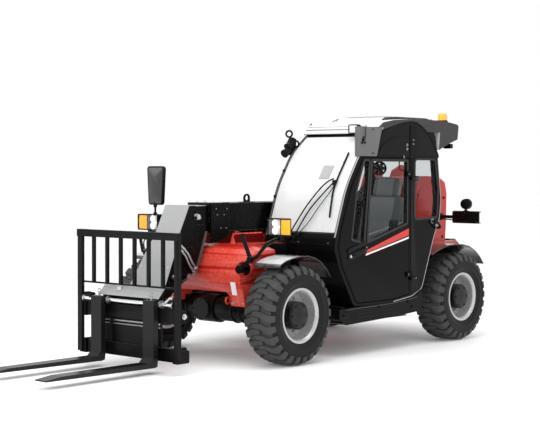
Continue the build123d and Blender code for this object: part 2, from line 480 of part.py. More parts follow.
# name: base pin, rod eye, barrel radius, rod radius, barrel length, eye width
CYLINDERS = {
    "lift": (LIFT_BASE, LIFT_HEAD, 52.0, 32.0, 985.0, 70.0),
    "tilt": (TILT_BASE, TILT_LUG, 36.0, 20.0, 500.0, 60.0),
}
for cyl_name, (base, eye_at, barrel_r, rod_r, barrel_len, eye_w) in CYLINDERS.items():
    span = hypot(eye_at[0] - base[0], eye_at[1] - base[1])
    p60 = along(base, eye_at, 55)
    end = along(base, eye_at, barrel_len)
    tip = along(base, eye_at, span - PIN_R - 8)
    rod_in = along(base, eye_at, 112)
    with BuildPart() as barrel:
        bar((p60[0], BOOM_Y, p60[1]), (end[0], BOOM_Y, end[1]), barrel_r)
        bar((base[0], BOOM_Y, base[1]), (p60[0], BOOM_Y, p60[1]), PIN_R + 12)
        cross_pin(base[0], base[1], BOOM_Y - eye_w / 2, BOOM_Y + eye_w / 2, PIN_R + 20)
        past = along(base, eye_at, barrel_len + 5)
        near = along(base, eye_at, 80)
        bar((near[0], BOOM_Y, near[1]), (past[0], BOOM_Y, past[1]), rod_r + 0.3, mode=Mode.SUBTRACT)
        cross_pin(base[0], base[1], BOOM_Y - 60, BOOM_Y + 60, PIN_R + FIT, mode=Mode.SUBTRACT)
    save(cyl_name + "_barrel", barrel.part)
    with BuildPart() as rod:
        bar((rod_in[0], BOOM_Y, rod_in[1]), (tip[0], BOOM_Y, tip[1]), rod_r)
        # the eye is open so that it may leave its pin
        cross_pin(eye_at[0], eye_at[1], BOOM_Y - eye_w / 2, BOOM_Y + eye_w / 2, PIN_R + 20)
        cross_pin(eye_at[0], eye_at[1], BOOM_Y - 60, BOOM_Y + 60, PIN_R + 1.0, mode=Mode.SUBTRACT)
    save(cyl_name + "_rod", rod.part)

# ================================================================ carriage, guard and forks
CAR_X0, CAR_X1 = 985.0, 1030.0
with BuildPart() as carriage:
    # rails:  z0, z1
    for z0, z1 in ((395, 500), (95, 195)):
        block(CAR_X0, CAR_X1, -500, 500, z0, z1)
    block(CAR_X0, CAR_X0 + 20, -330, 330, 190, 400)
    for y0, y1 in ((-530, -500), (500, 530)):
        plate([(921, 85), (1045, 85), (1045, 205), (921, 205)], y0, y1, radius=10)
        plate([(921, 385), (1045, 385), (1045, 575), (CAR_X0, 575), (CAR_X0 - 10, 500), (921, 480)], y0, y1, radius=10)
    # lugs to the boom head and to the tilt cylinder, inside the head's side plates
    for side in (-1, 1):
        plate([(CAR_X0 + 5, 160), (CAR_X0 + 5, 480), (890, 450), (815, 428), (793, 385), (815, 250), (850, 215)],
              *sorted((BOOM_Y + side * 78, BOOM_Y + side * 98)), radius=10)
        # the pin is left out between the lugs: the rod's eye drifts there
        cross_pin(TILT_LUG[0], TILT_LUG[1], *sorted((BOOM_Y + side * 45, BOOM_Y + side * 98)), PIN_R)
    # sloping cover plate over the fork bar
    block(CAR_X0, CAR_X0 + 15, -340, 340, 495, 604)
    plate([(958, 642), (970, 642), (1040, 566), (1026, 566)], -350, 345)
    cross_pin(TILT[0], TILT[1], -300, 100, 30 + PIVOT_PLAY, mode=Mode.SUBTRACT)
    for y in (-470, 470):
        block(1020, 1048, y - 30, y + 30, 500, 560)
    cross_pin(1046, 530, -506, 506, 16 + FIT, mode=Mode.SUBTRACT)
with BuildPart() as fork_bar:
    cross_pin(1046, 530, -505, 505, 16)
GUARD_W, GUARD_Z0, GUARD_Z1 = 580.0, 100.0, 1080.0
with BuildPart() as load_guard:
    block(1031, 1069, -GUARD_W, GUARD_W, GUARD_Z1 - 58, GUARD_Z1)
    for y in (-GUARD_W, GUARD_W - 50):
        block(1031, 1061, y, y + 50, GUARD_Z0, GUARD_Z1)
    block(1035, 1049, -GUARD_W, GUARD_W, 652, 666)
    for k in range(6):
        y = -GUARD_W + 25 + (k + 1) * (2 * GUARD_W - 50) / 7
        block(1035, 1057, y - 14, y + 14, 655, GUARD_Z1 - 40)
    for z0, z1 in ((400, 495), (100, 190)):
        for y0, y1 in ((-GUARD_W, -531), (531, GUARD_W)):
            block(1031, 1045, y0, y1, z0, z1)
FORK_Y, FORK_W, FORK_TIP = 300.0, 120.0, 2150.0
with BuildPart() as forks:
    for y in (-FORK_Y, FORK_Y):
        plate([(1064, 560), (1064, 90), (1068, 55), (1100, 48), (FORK_TIP, 58), (FORK_TIP, 68), (2000, 85), (1150, 85), (1110, 125), (1110, 560)],
              y - FORK_W / 2, y + FORK_W / 2, radius=5)
        # hanger eye round the bar
        block(1020, 1066, y - 35, y + 35, 508, 556)
        cross_pin(1046, 530, y - 60, y + 60, 16.05, mode=Mode.SUBTRACT)

# ================================================================ lamps, mirror, beacon
with BuildPart() as lamp_brackets:
    for side in (-1, 1):
        # clamp in the boss pocket, post up to the boom side, arm out to the lamp
        bar((171, side * 475, 764), (300, side * 475, 764), 24)
        bar((283, side * 475, 764), (283, side * 600, 850), 17)
        bar((283, side * 600, 850), (283, side * 505, 1042), 17)
        tube([(283, side * 590, 848), (276, side * 655, 866), (236, side * 728, 976), (160, side * 735, 1000),
              (95, side * 735, 1012)], 14, 18)
        block(78, 112, *sorted((side * 705, side * 765)), 1002, 1034.5)
    bar((95, -690, 1175.5), (95, -690, 1254), 9)
with BuildPart() as front_lamps:
    for side in (-1, 1):
        block(42, 122, *sorted((side * 635, side * 885)), 1035, 1175)
    fillet(front_lamps.edges().filter_by(Axis.X), radius=8)
with BuildPart() as mirror:
    slab([(-588, 1255), (-775, 1255), (-785, 1590), (-578, 1590)], 72, 118, radius=25)
with BuildPart() as tail_lamps:
    for side in (-1, 1):
        block(-2602, -2546, *sorted((side * 601, side * 896)), 1065, 1180)
        bar((-2574, side * 735, 1178), (-2574, side * 735, 1205), 14)
        bar((-2610, side * 735, 1246), (-2538, side * 735, 1246), 50)
with BuildPart() as beacon:
    bar((-2155, 750, 2004.5), (-2155, 750, 2018), 50)
    bar((-2155, 750, 2018), (-2155, 750, 2085), 44)
with BuildPart() as corner_pod:
    plate([(-770, 1678), (-1012, 1678), (-1084, 1926), (-770, 1926)], 700, 900, radius=15)
    with BuildSketch(Plane((AXLE_X, 0, 1600))) as pod_plan:
        with BuildLine():
            FilletPolyline((-790, 800), (-790, 846.5), (-994, 868), (-1110, 868), (-1110, 768), (-880, 768), radius=8, close=True)
        make_face()
    extrude(pod_plan.sketch, amount=400, mode=Mode.INTERSECT)
    plate(CAB_LINE, 600, CAB_Y1, mode=Mode.SUBTRACT, radius=CAB_RADII)
    plate([(x + 3, z) for x, z in ARCH], CAB_Y1 - 7, CAB_Y1 + 30, mode=Mode.SUBTRACT, radius=10)
with BuildPart() as work_lamps:
    block(-995, -938, 612, 712, 1872, 1952)
    block(-2232, -2182, 740, 820, 1762, 1806)

for piece in ("chassis_frame", "front_chassis", "rear_counterweight", "fuel_tank_cover", "hydraulic_tank",
              "fenders", "cab_frame", "windshield", "cab_windows", "cab_roof", "cab_door",
              "door_glass", "seat", "dashboard", "steering_wheel", "side_step", "engine_block", "engine_tray",
              "engine_hood", "exhaust_pipe", "outer_boom", "inner_boom", "head_cover", "carriage", "fork_bar",
              "load_guard", "forks", "lamp_brackets", "front_lamps", "mirror", "tail_lamps", "beacon",
              "corner_pod", "work_lamps"):
    save(piece, globals()[piece].part)
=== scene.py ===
import bpy, bmesh, json, math
from math import sin, cos, pi, radians
from mathutils import Vector, Matrix


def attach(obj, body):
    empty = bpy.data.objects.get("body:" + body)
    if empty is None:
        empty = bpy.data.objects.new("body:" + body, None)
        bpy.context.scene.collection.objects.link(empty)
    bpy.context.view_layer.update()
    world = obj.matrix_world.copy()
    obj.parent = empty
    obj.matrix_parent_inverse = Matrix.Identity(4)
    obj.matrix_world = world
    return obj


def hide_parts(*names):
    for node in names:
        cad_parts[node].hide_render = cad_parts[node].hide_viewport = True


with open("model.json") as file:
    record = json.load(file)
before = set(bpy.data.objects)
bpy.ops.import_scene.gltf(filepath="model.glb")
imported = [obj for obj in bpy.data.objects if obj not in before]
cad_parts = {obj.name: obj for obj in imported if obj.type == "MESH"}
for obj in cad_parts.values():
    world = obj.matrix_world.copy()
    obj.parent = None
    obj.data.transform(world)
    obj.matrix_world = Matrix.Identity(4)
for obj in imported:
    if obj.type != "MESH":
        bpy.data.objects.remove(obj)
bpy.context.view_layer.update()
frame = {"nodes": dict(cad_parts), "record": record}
NODES, RECORD = frame["nodes"], frame["record"]
SLOT = {s["node"]: s["material_slot"] for s in RECORD["subparts"]}
BODY = {n: b for b, ns in RECORD["behaviour"]["bodies"].items() for n in ns}
AX = 0.350          # front axle x; tables below count x from the front axle
BY = -0.100         # boom centre line

# ------------------------------------------------------------------ materials
def nodes_of(name):
    m = bpy.data.materials.new(name)
    m.use_nodes = True
    nt = m.node_tree
    return m, nt, nt.nodes["Principled BSDF"]


def noise(nt, scale, detail=4.0, rough=0.55, stretch=None):
    tc = nt.nodes.new("ShaderNodeTexCoord")
    n = nt.nodes.new("ShaderNodeTexNoise")
    n.inputs["Scale"].default_value = scale
    n.inputs["Detail"].default_value = detail
    n.inputs["Roughness"].default_value = rough
    if stretch:
        mp = nt.nodes.new("ShaderNodeMapping")
        mp.inputs["Scale"].default_value = stretch
        nt.links.new(tc.outputs["Object"], mp.inputs["Vector"])
        nt.links.new(mp.outputs["Vector"], n.inputs["Vector"])
    else:
        nt.links.new(tc.outputs["Object"], n.inputs["Vector"])
    return n


def ramp(nt, src, stops):
    r = nt.nodes.new("ShaderNodeValToRGB")
    els = r.color_ramp.elements
    while len(els) < len(stops):
        els.new(0.5)
    for e, (pos, col) in zip(els, stops):
        e.position = pos
        e.color = (*col, 1) if isinstance(col, (tuple, list)) else (col, col, col, 1)
    nt.links.new(src, r.inputs["Fac"])
    return r


def bump(nt, bsdf, src, strength, distance, chain=None):
    b = nt.nodes.new("ShaderNodeBump")
    b.inputs["Strength"].default_value = strength
    b.inputs["Distance"].default_value = distance
    nt.links.new(src, b.inputs["Height"])
    if chain:
        nt.links.new(chain.outputs["Normal"], b.inputs["Normal"])
    nt.links.new(b.outputs["Normal"], bsdf.inputs["Normal"])
    return b


def scale_rgb(c, k):
    return tuple(min(1.0, v * k) for v in c)


def painted(name, color, rough=0.35, coat=0.0, vary=0.12, peel=0.05, peel_scale=260, metallic=0.0, wear=None, spec=0.5,
            low=0.85, painted_sky_reflection=None):
    """Paint or plastic: cloudy colour, roughness patches, orange peel, worn or dusty edges, and an optional painted
    reflection that lightens faces looking up.
    """
    m, nt, b = nodes_of(name)
    cloud = noise(nt, 3.1, 6)
    grain = noise(nt, 42, 3)
    r = ramp(nt, cloud.outputs["Fac"], [(0.25, scale_rgb(color, 1 - vary)), (0.75, scale_rgb(color, 1 + vary))])
    out = r.outputs["Color"]
    if wear:
        geo = nt.nodes.new("ShaderNodeNewGeometry")
        edge = ramp(nt, geo.outputs["Pointiness"], [(0.53, 0.0), (0.62, 1.0)])
        mul = nt.nodes.new("ShaderNodeMath"); mul.operation = "MULTIPLY"
        nt.links.new(edge.outputs["Color"], mul.inputs[0])
        nt.links.new(grain.outputs["Fac"], mul.inputs[1])
        mix = nt.nodes.new("ShaderNodeMix"); mix.data_type = "RGBA"
        nt.links.new(mul.outputs[0], mix.inputs["Factor"])
        nt.links.new(out, mix.inputs["A"])
        mix.inputs["B"].default_value = (*wear, 1)
        out = mix.outputs["Result"]
    if painted_sky_reflection:
        # painted reflection: faces that look up are mixed towards a pale colour, standing in for the bright
        # surroundings they mirror; the tuple holds (colour, lowest normal z, full normal z)
        geo = nt.nodes.new("ShaderNodeNewGeometry")
        sep = nt.nodes.new("ShaderNodeSeparateXYZ")
        nt.links.new(geo.outputs["Normal"], sep.inputs["Vector"])
        up_ = ramp(nt, sep.outputs["Z"], [(painted_sky_reflection[1], 0.0), (painted_sky_reflection[2], 1.0)])
        mul = nt.nodes.new("ShaderNodeMath"); mul.operation = "MULTIPLY"; mul.use_clamp = True
        soft = ramp(nt, cloud.outputs["Fac"], [(0.25, 0.7), (0.75, 1.0)])
        nt.links.new(up_.outputs["Color"], mul.inputs[0]); nt.links.new(soft.outputs["Color"], mul.inputs[1])
        mix = nt.nodes.new("ShaderNodeMix"); mix.data_type = "RGBA"
        nt.links.new(mul.outputs[0], mix.inputs["Factor"])
        nt.links.new(out, mix.inputs["A"])
        mix.inputs["B"].default_value = (*painted_sky_reflection[0], 1)
        out = mix.outputs["Result"]
    nt.links.new(out, b.inputs["Base Color"])
    rr = ramp(nt, grain.outputs["Fac"], [(0.3, rough * low), (0.7, min(1, rough * 1.15))])
    nt.links.new(rr.outputs["Color"], b.inputs["Roughness"])
    b.inputs["Metallic"].default_value = metallic
    b.inputs["Specular IOR Level"].default_value = spec
    if coat:
        b.inputs["Coat Weight"].default_value = coat
        b.inputs["Coat Roughness"].default_value = 0.12
    if peel:
        p = noise(nt, peel_scale, 2)
        bump(nt, b, p.outputs["Fac"], peel, 0.002)
    return m


def moulded(name, color, rough=0.6, pebble=520, strength=0.25):
    """Grained injection-moulded plastic."""
    m = painted(name, color, rough, vary=0.10, peel=0)
    nt = m.node_tree; b = nt.nodes["Principled BSDF"]
    tc = nt.nodes.new("ShaderNodeTexCoord")
    v = nt.nodes.new("ShaderNodeTexVoronoi"); v.inputs["Scale"].default_value = pebble
    nt.links.new(tc.outputs["Object"], v.inputs["Vector"])
    bump(nt, b, v.outputs["Distance"], strength, 0.001)
    return m


def metal(name, color, rough, stretch=None, scale=60, vary=0.08):
    m, nt, b = nodes_of(name)
    n = noise(nt, scale, 4, stretch=stretch)
    r = ramp(nt, n.outputs["Fac"], [(0.3, scale_rgb(color, 1 - vary)), (0.7, scale_rgb(color, 1 + vary))])
    nt.links.new(r.outputs["Color"], b.inputs["Base Color"])
    rr = ramp(nt, n.outputs["Fac"], [(0.2, rough * 0.8), (0.8, rough * 1.3)])
    nt.links.new(rr.outputs["Color"], b.inputs["Roughness"])
    b.inputs["Metallic"].default_value = 1.0
    bump(nt, b, n.outputs["Fac"], 0.06, 0.001)
    return m


def rubber(name, color, rough=0.75):
    m, nt, b = nodes_of(name)
    cloud = noise(nt, 7, 6)
    fine = noise(nt, 340, 3)
    r = ramp(nt, cloud.outputs["Fac"], [(0.3, scale_rgb(color, 0.78)), (0.72, scale_rgb(color, 1.25))])
    nt.links.new(r.outputs["Color"], b.inputs["Base Color"])
    rr = ramp(nt, cloud.outputs["Fac"], [(0.3, rough * 0.85), (0.7, min(1, rough * 1.1))])
    nt.links.new(rr.outputs["Color"], b.inputs["Roughness"])
    bump(nt, b, fine.outputs["Fac"], 0.22, 0.0015)
    return m


def glass(name, tint, alpha_mix=0.86, rough=0.02, body=0.03):
    """Thin pane: mostly clear, with a faint smear pattern in its gloss."""
    m = bpy.data.materials.new(name); m.use_nodes = True
    nt = m.node_tree
    for n in list(nt.nodes):
        nt.nodes.remove(n)
    out = nt.nodes.new("ShaderNodeOutputMaterial")
    tr = nt.nodes.new("ShaderNodeBsdfTransparent"); tr.inputs["Color"].default_value = (*tint, 1)
    gl = nt.nodes.new("ShaderNodeBsdfPrincipled")
    gl.inputs["Base Color"].default_value = (*scale_rgb(tint, body), 1)
    gl.inputs["Specular IOR Level"].default_value = 0.6
    smear = noise(nt, 5, 5)
    rr = ramp(nt, smear.outputs["Fac"], [(0.3, rough), (0.8, rough * 4)])
    nt.links.new(rr.outputs["Color"], gl.inputs["Roughness"])
    mix = nt.nodes.new("ShaderNodeMixShader")
    # the same reflection from either side of the pane
    fr = nt.nodes.new("ShaderNodeFresnel")
    geo = nt.nodes.new("ShaderNodeNewGeometry")
    ior = nt.nodes.new("ShaderNodeMath"); ior.operation = "MULTIPLY_ADD"
    nt.links.new(geo.outputs["Backfacing"], ior.inputs[0])
    ior.inputs[1].default_value = 1 / 1.45 - 1.45
    ior.inputs[2].default_value = 1.45
    nt.links.new(ior.outputs[0], fr.inputs["IOR"])
    add = nt.nodes.new("ShaderNodeMath"); add.operation = "ADD"; add.inputs[1].default_value = 1 - alpha_mix
    nt.links.new(fr.outputs[0], add.inputs[0])
    nt.links.new(add.outputs[0], mix.inputs[0])
    nt.links.new(tr.outputs[0], mix.inputs[1]); nt.links.new(gl.outputs[0], mix.inputs[2])
    nt.links.new(mix.outputs[0], out.inputs["Surface"])
    return m


def screen_glass(name):
    """Curved laminated screen: clear glass mixed strongly with a pale grey body that paints its reflection, and faint
    wipe marks.
    """
    m = glass(name, (0.97, 0.985, 0.985), 0.36, 0.10)
    g = [n for n in m.node_tree.nodes if n.type == "BSDF_PRINCIPLED"][0]
    g.inputs["Base Color"].default_value = (0.80, 0.81, 0.81, 1)
    return m


RED = (0.46, 0.0105, 0.0075)
# the black paints, fender plastics, cast iron and mirror shell lighten on faces that look up: a painted reflection of
# the bright surroundings
MAT = {
    "red_paint": painted("red_paint", RED, 0.24, coat=0.35, vary=0.05, peel=0.015, wear=(0.80, 0.12, 0.08), spec=0.28),
    # a darker copy of the red paint: painted shade for the plates under the boom
    "dark_red": painted("dark_red", (0.10, 0.003, 0.004), 0.5, vary=0.15, spec=0.1),
    "black_paint": painted("black_paint", (0.0026, 0.0026, 0.0027), 0.26, vary=0.15, peel=0.03, wear=(0.016, 0.016, 0.016), spec=0.09,
                           painted_sky_reflection=((0.10, 0.10, 0.10), 0.80, 0.98)),
    "black_satin": painted("black_satin", (0.0026, 0.0026, 0.0027), 0.34, vary=0.18, peel=0.04, wear=(0.016, 0.016, 0.016), spec=0.085,
                           painted_sky_reflection=((0.055, 0.055, 0.055), 0.80, 0.98)),
    "cab_black": painted("cab_black", (0.0022, 0.0022, 0.0023), 0.20, vary=0.12, peel=0.015, wear=(0.020, 0.020, 0.020), spec=0.075),
    "arch_black": painted("arch_black", (0.0022, 0.0022, 0.0023), 0.12, vary=0.12, peel=0.0, wear=(0.02, 0.02, 0.02), spec=0.10),
    "grey_paint": painted("grey_paint", (0.33, 0.333, 0.337), 0.40, vary=0.04, peel=0.03, spec=0.3),
    "edge_grey": painted("edge_grey", (0.060, 0.062, 0.062), 0.40, vary=0.05, peel=0.03, spec=0.25),
    "pale_edge": painted("pale_edge", (0.42, 0.42, 0.42), 0.40, vary=0.05, peel=0.03, spec=0.4),
    "pod_plastic": moulded("pod_plastic", (0.014, 0.014, 0.015), 0.45, strength=0.10),
    "pod_light": moulded("pod_light", (0.105, 0.106, 0.108), 0.45, strength=0.10),
    "roof_top": moulded("roof_top", (0.62, 0.62, 0.62), 0.35, strength=0.05),
    "black_plastic": painted("black_plastic", (0.0036, 0.0036, 0.0038), 0.40, vary=0.15, peel=0.08, peel_scale=420, spec=0.15),
    "fender_plastic": painted("fender_plastic", (0.012, 0.012, 0.0125), 0.14, coat=0.6, vary=0.10, peel=0.0, spec=0.5,
                              painted_sky_reflection=((0.62, 0.62, 0.62), 0.50, 0.86)),
    # a darker copy of the fender plastic with a weaker painted reflection: painted shade
    "fender_dark": painted("fender_dark", (0.006, 0.006, 0.0063), 0.16, coat=0.4, vary=0.10, peel=0.0, spec=0.4,
                           painted_sky_reflection=((0.07, 0.07, 0.07), 0.70, 0.98)),
    "fork_steel": painted("fork_steel", (0.0042, 0.0042, 0.0044), 0.30, vary=0.2, peel=0.08, wear=(0.06, 0.06, 0.06), spec=0.2),
    "cast_iron": painted("cast_iron", (0.0045, 0.0045, 0.0047), 0.30, vary=0.25, peel=0.12, peel_scale=120, wear=(0.03, 0.03, 0.03), spec=0.16,
                         painted_sky_reflection=((0.05, 0.05, 0.05), 0.55, 1.0)),
    "chrome": metal("chrome", (0.80, 0.80, 0.82), 0.10, stretch=(1, 60, 1)),
    "bright_steel": metal("bright_steel", (0.66, 0.66, 0.67), 0.28),
    "zinc": metal("zinc", (0.36, 0.36, 0.36), 0.38),
    "dull_zinc": metal("dull_zinc", (0.13, 0.13, 0.13), 0.42),
    "braid": metal("braid", (0.34, 0.34, 0.35), 0.42, scale=420, vary=0.45),
    "rim_silver": painted("rim_silver", (0.46, 0.46, 0.465), 0.30, coat=0.15, vary=0.05, metallic=0.45, peel=0.02),
    # tread and sidewall are lit and shaded copies of one rubber: the lighter tread is a painted highlight on the lugs
    "tyre": rubber("tyre", (0.034, 0.034, 0.035)),
    "sidewall": rubber("sidewall", (0.0050, 0.0050, 0.0054), 0.50),
    "seal": rubber("seal", (0.0035, 0.0035, 0.0035), 0.6),
    "hose": rubber("hose", (0.005, 0.005, 0.005), 0.5),
    "clear_glass": glass("clear_glass", (0.93, 0.95, 0.95), 0.985, 0.015),
    "screen_glass": screen_glass("screen_glass"),
    "lamp_clear": glass("lamp_clear", (0.98, 0.98, 0.99), 0.90, 0.05, 0.5),
    "amber_lens": painted("amber_lens", (0.95, 0.42, 0.012), 0.2, coat=0.5, vary=0.06, peel=0),
    "red_lens": painted("red_lens", (0.16, 0.004, 0.004), 0.2, coat=0.3, vary=0.06, peel=0),
    "white_label": painted("white_label", (0.80, 0.80, 0.80), 0.4, vary=0.03, peel=0),
    "screen_note": painted("screen_note", (0.36, 0.36, 0.36), 0.5, vary=0.04, peel=0),
    "lamp_white": painted("lamp_white", (0.92, 0.92, 0.92), 0.3, vary=0.02, peel=0, spec=0.6),
    "stripe_red": painted("stripe_red", (0.56, 0.022, 0.016), 0.35, vary=0.04, peel=0.0),
    "reflector": metal("reflector", (0.9, 0.9, 0.92), 0.22),
    "mirror_black": painted("mirror_black", (0.012, 0.012, 0.0125), 0.22, coat=0.3, vary=0.2, peel=0.02, spec=0.6, painted_sky_reflection=((0.10, 0.10, 0.10), 0.02, 0.16)),
    "seat_fabric": moulded("seat_fabric", (0.20, 0.20, 0.202), 0.7, pebble=300, strength=0.4),
    "seat_cloth": moulded("seat_cloth", (0.38, 0.38, 0.385), 0.85, pebble=700, strength=0.6),
    "inner_grey": moulded("inner_grey", (0.11, 0.11, 0.113), 0.6, pebble=420, strength=0.2),
    "thread": rubber("thread", (0.16, 0.16, 0.16), 0.8),
    "engine_grey": painted("engine_grey", (0.06, 0.062, 0.065), 0.5, vary=0.2, peel=0.3, peel_scale=120, spec=0.35),
    # near-black for the grille's backing mesh, and painted shade in slots, holes and under the hood louvres
    "mesh_dark": rubber("mesh_dark", (0.002, 0.002, 0.002), 0.9),
    "screen_on": painted("screen_on", (0.02, 0.05, 0.06), 0.15, vary=0.1, peel=0),
}
for _n, _v in (("tyre", 0.26), ("sidewall", 0.18)):
    bpy.data.materials[_n].node_tree.nodes["Principled BSDF"].inputs["Specular IOR Level"].default_value = _v
# the amber lenses and the white reflector tubs and bulbs are given a faint glow: painted light that makes them look lit
for _n, _c, _e in (("amber_lens", (1.0, 0.44, 0.01, 1), 0.22), ("lamp_white", (1.0, 1.0, 1.0, 1), 0.45)):
    _b = bpy.data.materials[_n].node_tree.nodes["Principled BSDF"]
    _b.inputs["Emission Color"].default_value = _c
    _b.inputs["Emission Strength"].default_value = _e


# ------------------------------------------------------------------ mesh helpers
def link(o):
    bpy.context.scene.collection.objects.link(o)
    return o


def finish_mesh(name, bm, mat, body, bevel=0.0, smooth=True, angle=32, segments=2):
    bmesh.ops.recalc_face_normals(bm, faces=bm.faces)
    me = bpy.data.meshes.new(name)
    bm.to_mesh(me); bm.free()
    o = link(bpy.data.objects.new(name, me))
    mats = mat if isinstance(mat, (list, tuple)) else [mat]
    for k in mats:
        me.materials.append(MAT[k])
    if smooth:
        me.shade_smooth()
        me.set_sharp_from_angle(angle=radians(angle))
    if bevel:
        b = o.modifiers.new("bevel", "BEVEL")
        b.width = bevel; b.segments = segments; b.limit_method = "ANGLE"; b.angle_limit = radians(30)
        b.harden_normals = True
        b.use_clamp_overlap = True
    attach(o, body)
    return o


def refine(node, bevel=0.004, mat=None, angle=30, segments=2):
    """A cleaned copy of a CAD node with rounded edges, standing for it."""
    src = NODES[node]
    bm = bmesh.new(); bm.from_mesh(src.data)
    bmesh.ops.remove_doubles(bm, verts=bm.verts, dist=1e-5)
    bmesh.ops.dissolve_limit(bm, angle_limit=radians(0.6), verts=bm.verts, edges=bm.edges)
    o = finish_mesh(node + "_shape", bm, mat or SLOT[node], BODY[node], bevel, True, angle, segments)
    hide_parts(node)
    return o


def grid_box(bm, x0, x1, y0, y1, z0, z1):
    vs = [bm.verts.new((x, y, z)) for x in (x0, x1) for y in (y0, y1) for z in (z0, z1)]
    for f in ((0, 1, 3, 2), (4, 6, 7, 5), (0, 4, 5, 1), (2, 3, 7, 6), (0, 2, 6, 4), (1, 5, 7, 3)):
        bm.faces.new([vs[i] for i in f])


def add_prism(bm, pts, y0, y1, axis="y"):
    """Outline extruded along an axis. axis y: pts are (x, z); axis x: (y, z); axis z: (x, y)."""
    def at(p, t):
        if axis == "y": return (p[0] + AX, t, p[1])
        if axis == "x": return (t + AX, p[0], p[1])
        return (p[0] + AX, p[1], t)
    a = [bm.verts.new(at(p, y0)) for p in pts]
    b = [bm.verts.new(at(p, y1)) for p in pts]
    n = len(pts)
    bm.faces.new(a); bm.faces.new(list(reversed(b)))
    for i in range(n):
        bm.faces.new((a[i], b[i], b[(i + 1) % n], a[(i + 1) % n]))


def add_cyl(bm, p, q, r, n=24, r2=None):
    p, q = Vector(p), Vector(q)
    d = (q - p).normalized()
    u = d.orthogonal().normalized(); w = d.cross(u)
    r2 = r if r2 is None else r2
    a = [bm.verts.new(p + (u * cos(2 * pi * i / n) + w * sin(2 * pi * i / n)) * r) for i in range(n)]
    b = [bm.verts.new(q + (u * cos(2 * pi * i / n) + w * sin(2 * pi * i / n)) * r2) for i in range(n)]
    bm.faces.new(a); bm.faces.new(list(reversed(b)))
    for i in range(n):
        bm.faces.new((a[i], a[(i + 1) % n], b[(i + 1) % n], b[i]))


def P(x, y, z):
    return Vector((x + AX, y, z))


def add_bolt(bm, pos, axis, r=0.012, h=0.009, washer=True):
    pos, axis = Vector(pos), Vector(axis).normalized()
    if washer:
        add_cyl(bm, pos, pos + axis * 0.0025, r * 1.45, 20)
    add_cyl(bm, pos + axis * 0.0025, pos + axis * h, r, 6)
    add_cyl(bm, pos + axis * h, pos + axis * (h + 0.004), r * 0.55, 10)


def add_lathe(bm, section, centre, axis="y", n=64, side=1):
    """Revolves (along, radius) pairs about an axis through centre."""
    c = Vector(centre)
    rings = []
    for t, r in section:
        ring = []
        for i in range(n):
            a = 2 * pi * i / n
            if axis == "y": v = Vector((r * cos(a), t * side, r * sin(a)))
            elif axis == "z": v = Vector((r * cos(a), r * sin(a), t))
            else: v = Vector((t, r * cos(a), r * sin(a)))
            ring.append(bm.verts.new(c + v))
        rings.append(ring)
    for a, b in zip(rings, rings[1:]):
        for i in range(n):
            bm.faces.new((a[i], a[(i + 1) % n], b[(i + 1) % n], b[i]))
    return rings


def pipe(name, pts, r, mat, body, res=6, cyclic=False, order=3):
    """Smooth round tube through points, as a mesh made from a curve."""
    cu = bpy.data.curves.new(name + "_c", "CURVE"); cu.dimensions = "3D"
    cu.bevel_depth = r; cu.bevel_resolution = 4; cu.use_fill_caps = True
    sp = cu.splines.new("NURBS"); sp.points.add(len(pts) - 1)
    for p, co in zip(sp.points, pts):
        p.co = (*co, 1)
    sp.order_u = order; sp.use_endpoint_u = True; sp.resolution_u = res
    o = link(bpy.data.objects.new(name + "_c", cu))
    me = bpy.data.meshes.new_from_object(o.evaluated_get(bpy.context.evaluated_depsgraph_get()))
    bpy.data.objects.remove(o)
    bm = bmesh.new(); bm.from_mesh(me)
    return finish_mesh(name, bm, mat, body, angle=50)


# ------------------------------------------------------------------ plain CAD nodes, cleaned and bevelled
BEVEL = {
    "chassis_frame": 0.004, "front_chassis": 0.008, "rear_counterweight": 0.012, "fuel_tank_cover": 0.015,
    "hydraulic_tank": 0.010, "front_axle": 0.004, "rear_axle": 0.004, "fenders": 0.002, "cab_frame": 0.004,
    "cab_roof": 0.008, "cab_door": 0.003, "dashboard": 0.010, "steering_wheel": 0.004, "side_step": 0.006,
    "engine_block": 0.010, "engine_tray": 0.004, "engine_hood": 0.012, "exhaust_pipe": 0.002, "outer_boom": 0.008,
    "inner_boom": 0.003, "head_cover": 0.002, "lift_barrel": 0.003, "lift_rod": 0.001, "tilt_barrel": 0.002,
    "tilt_rod": 0.001, "carriage": 0.003, "fork_bar": 0.002, "load_guard": 0.004, "forks": 0.004,
    "lamp_brackets": 0.001, "front_lamps": 0.006, "mirror": 0.006, "tail_lamps": 0.006, "beacon": 0.004,
    "corner_pod": 0.004, "work_lamps": 0.006, "seat": 0.02,
    "windshield": 0.0, "cab_windows": 0.0, "door_glass": 0.0,
}
CORNERS = {"fl": (0.0, 1), "fr": (0.0, -1), "rl": (-2.3, 1), "rr": (-2.3, -1)}
for c in CORNERS:
    BEVEL["knuckle_" + c] = 0.003
    BEVEL["rim_" + c] = 0.002
FINISH = {"fenders": "fender_plastic", "carriage": "black_satin", "load_guard": "black_satin", "cab_frame": "cab_black",
          "cab_door": "cab_black", "side_step": "cab_black", "windshield": "screen_glass", "corner_pod": "pod_light"}
OWN = {"front_lamps", "mirror", "tail_lamps", "beacon", "work_lamps", "seat", "steering_wheel"}
for node, width in BEVEL.items():
    if node not in OWN:
        refine(node, width, FINISH.get(node), angle=46 if node == "front_chassis" else 30)


def second_finish(node, mat, test):
    """Faces of a cleaned node that pass the test take a second finish."""
    me = bpy.data.objects[node + "_shape"].data
    me.materials.append(MAT[mat])
    for p in me.polygons:
        if test(p.center, p.normal):
            p.material_index = len(me.materials) - 1


second_finish("cab_roof", "roof_top", lambda c, n: n.x > 0.3 or n.z > 0.25)
second_finish("cab_frame", "arch_black", lambda c, n: n.y > 0.9 and c.y > 0.850)
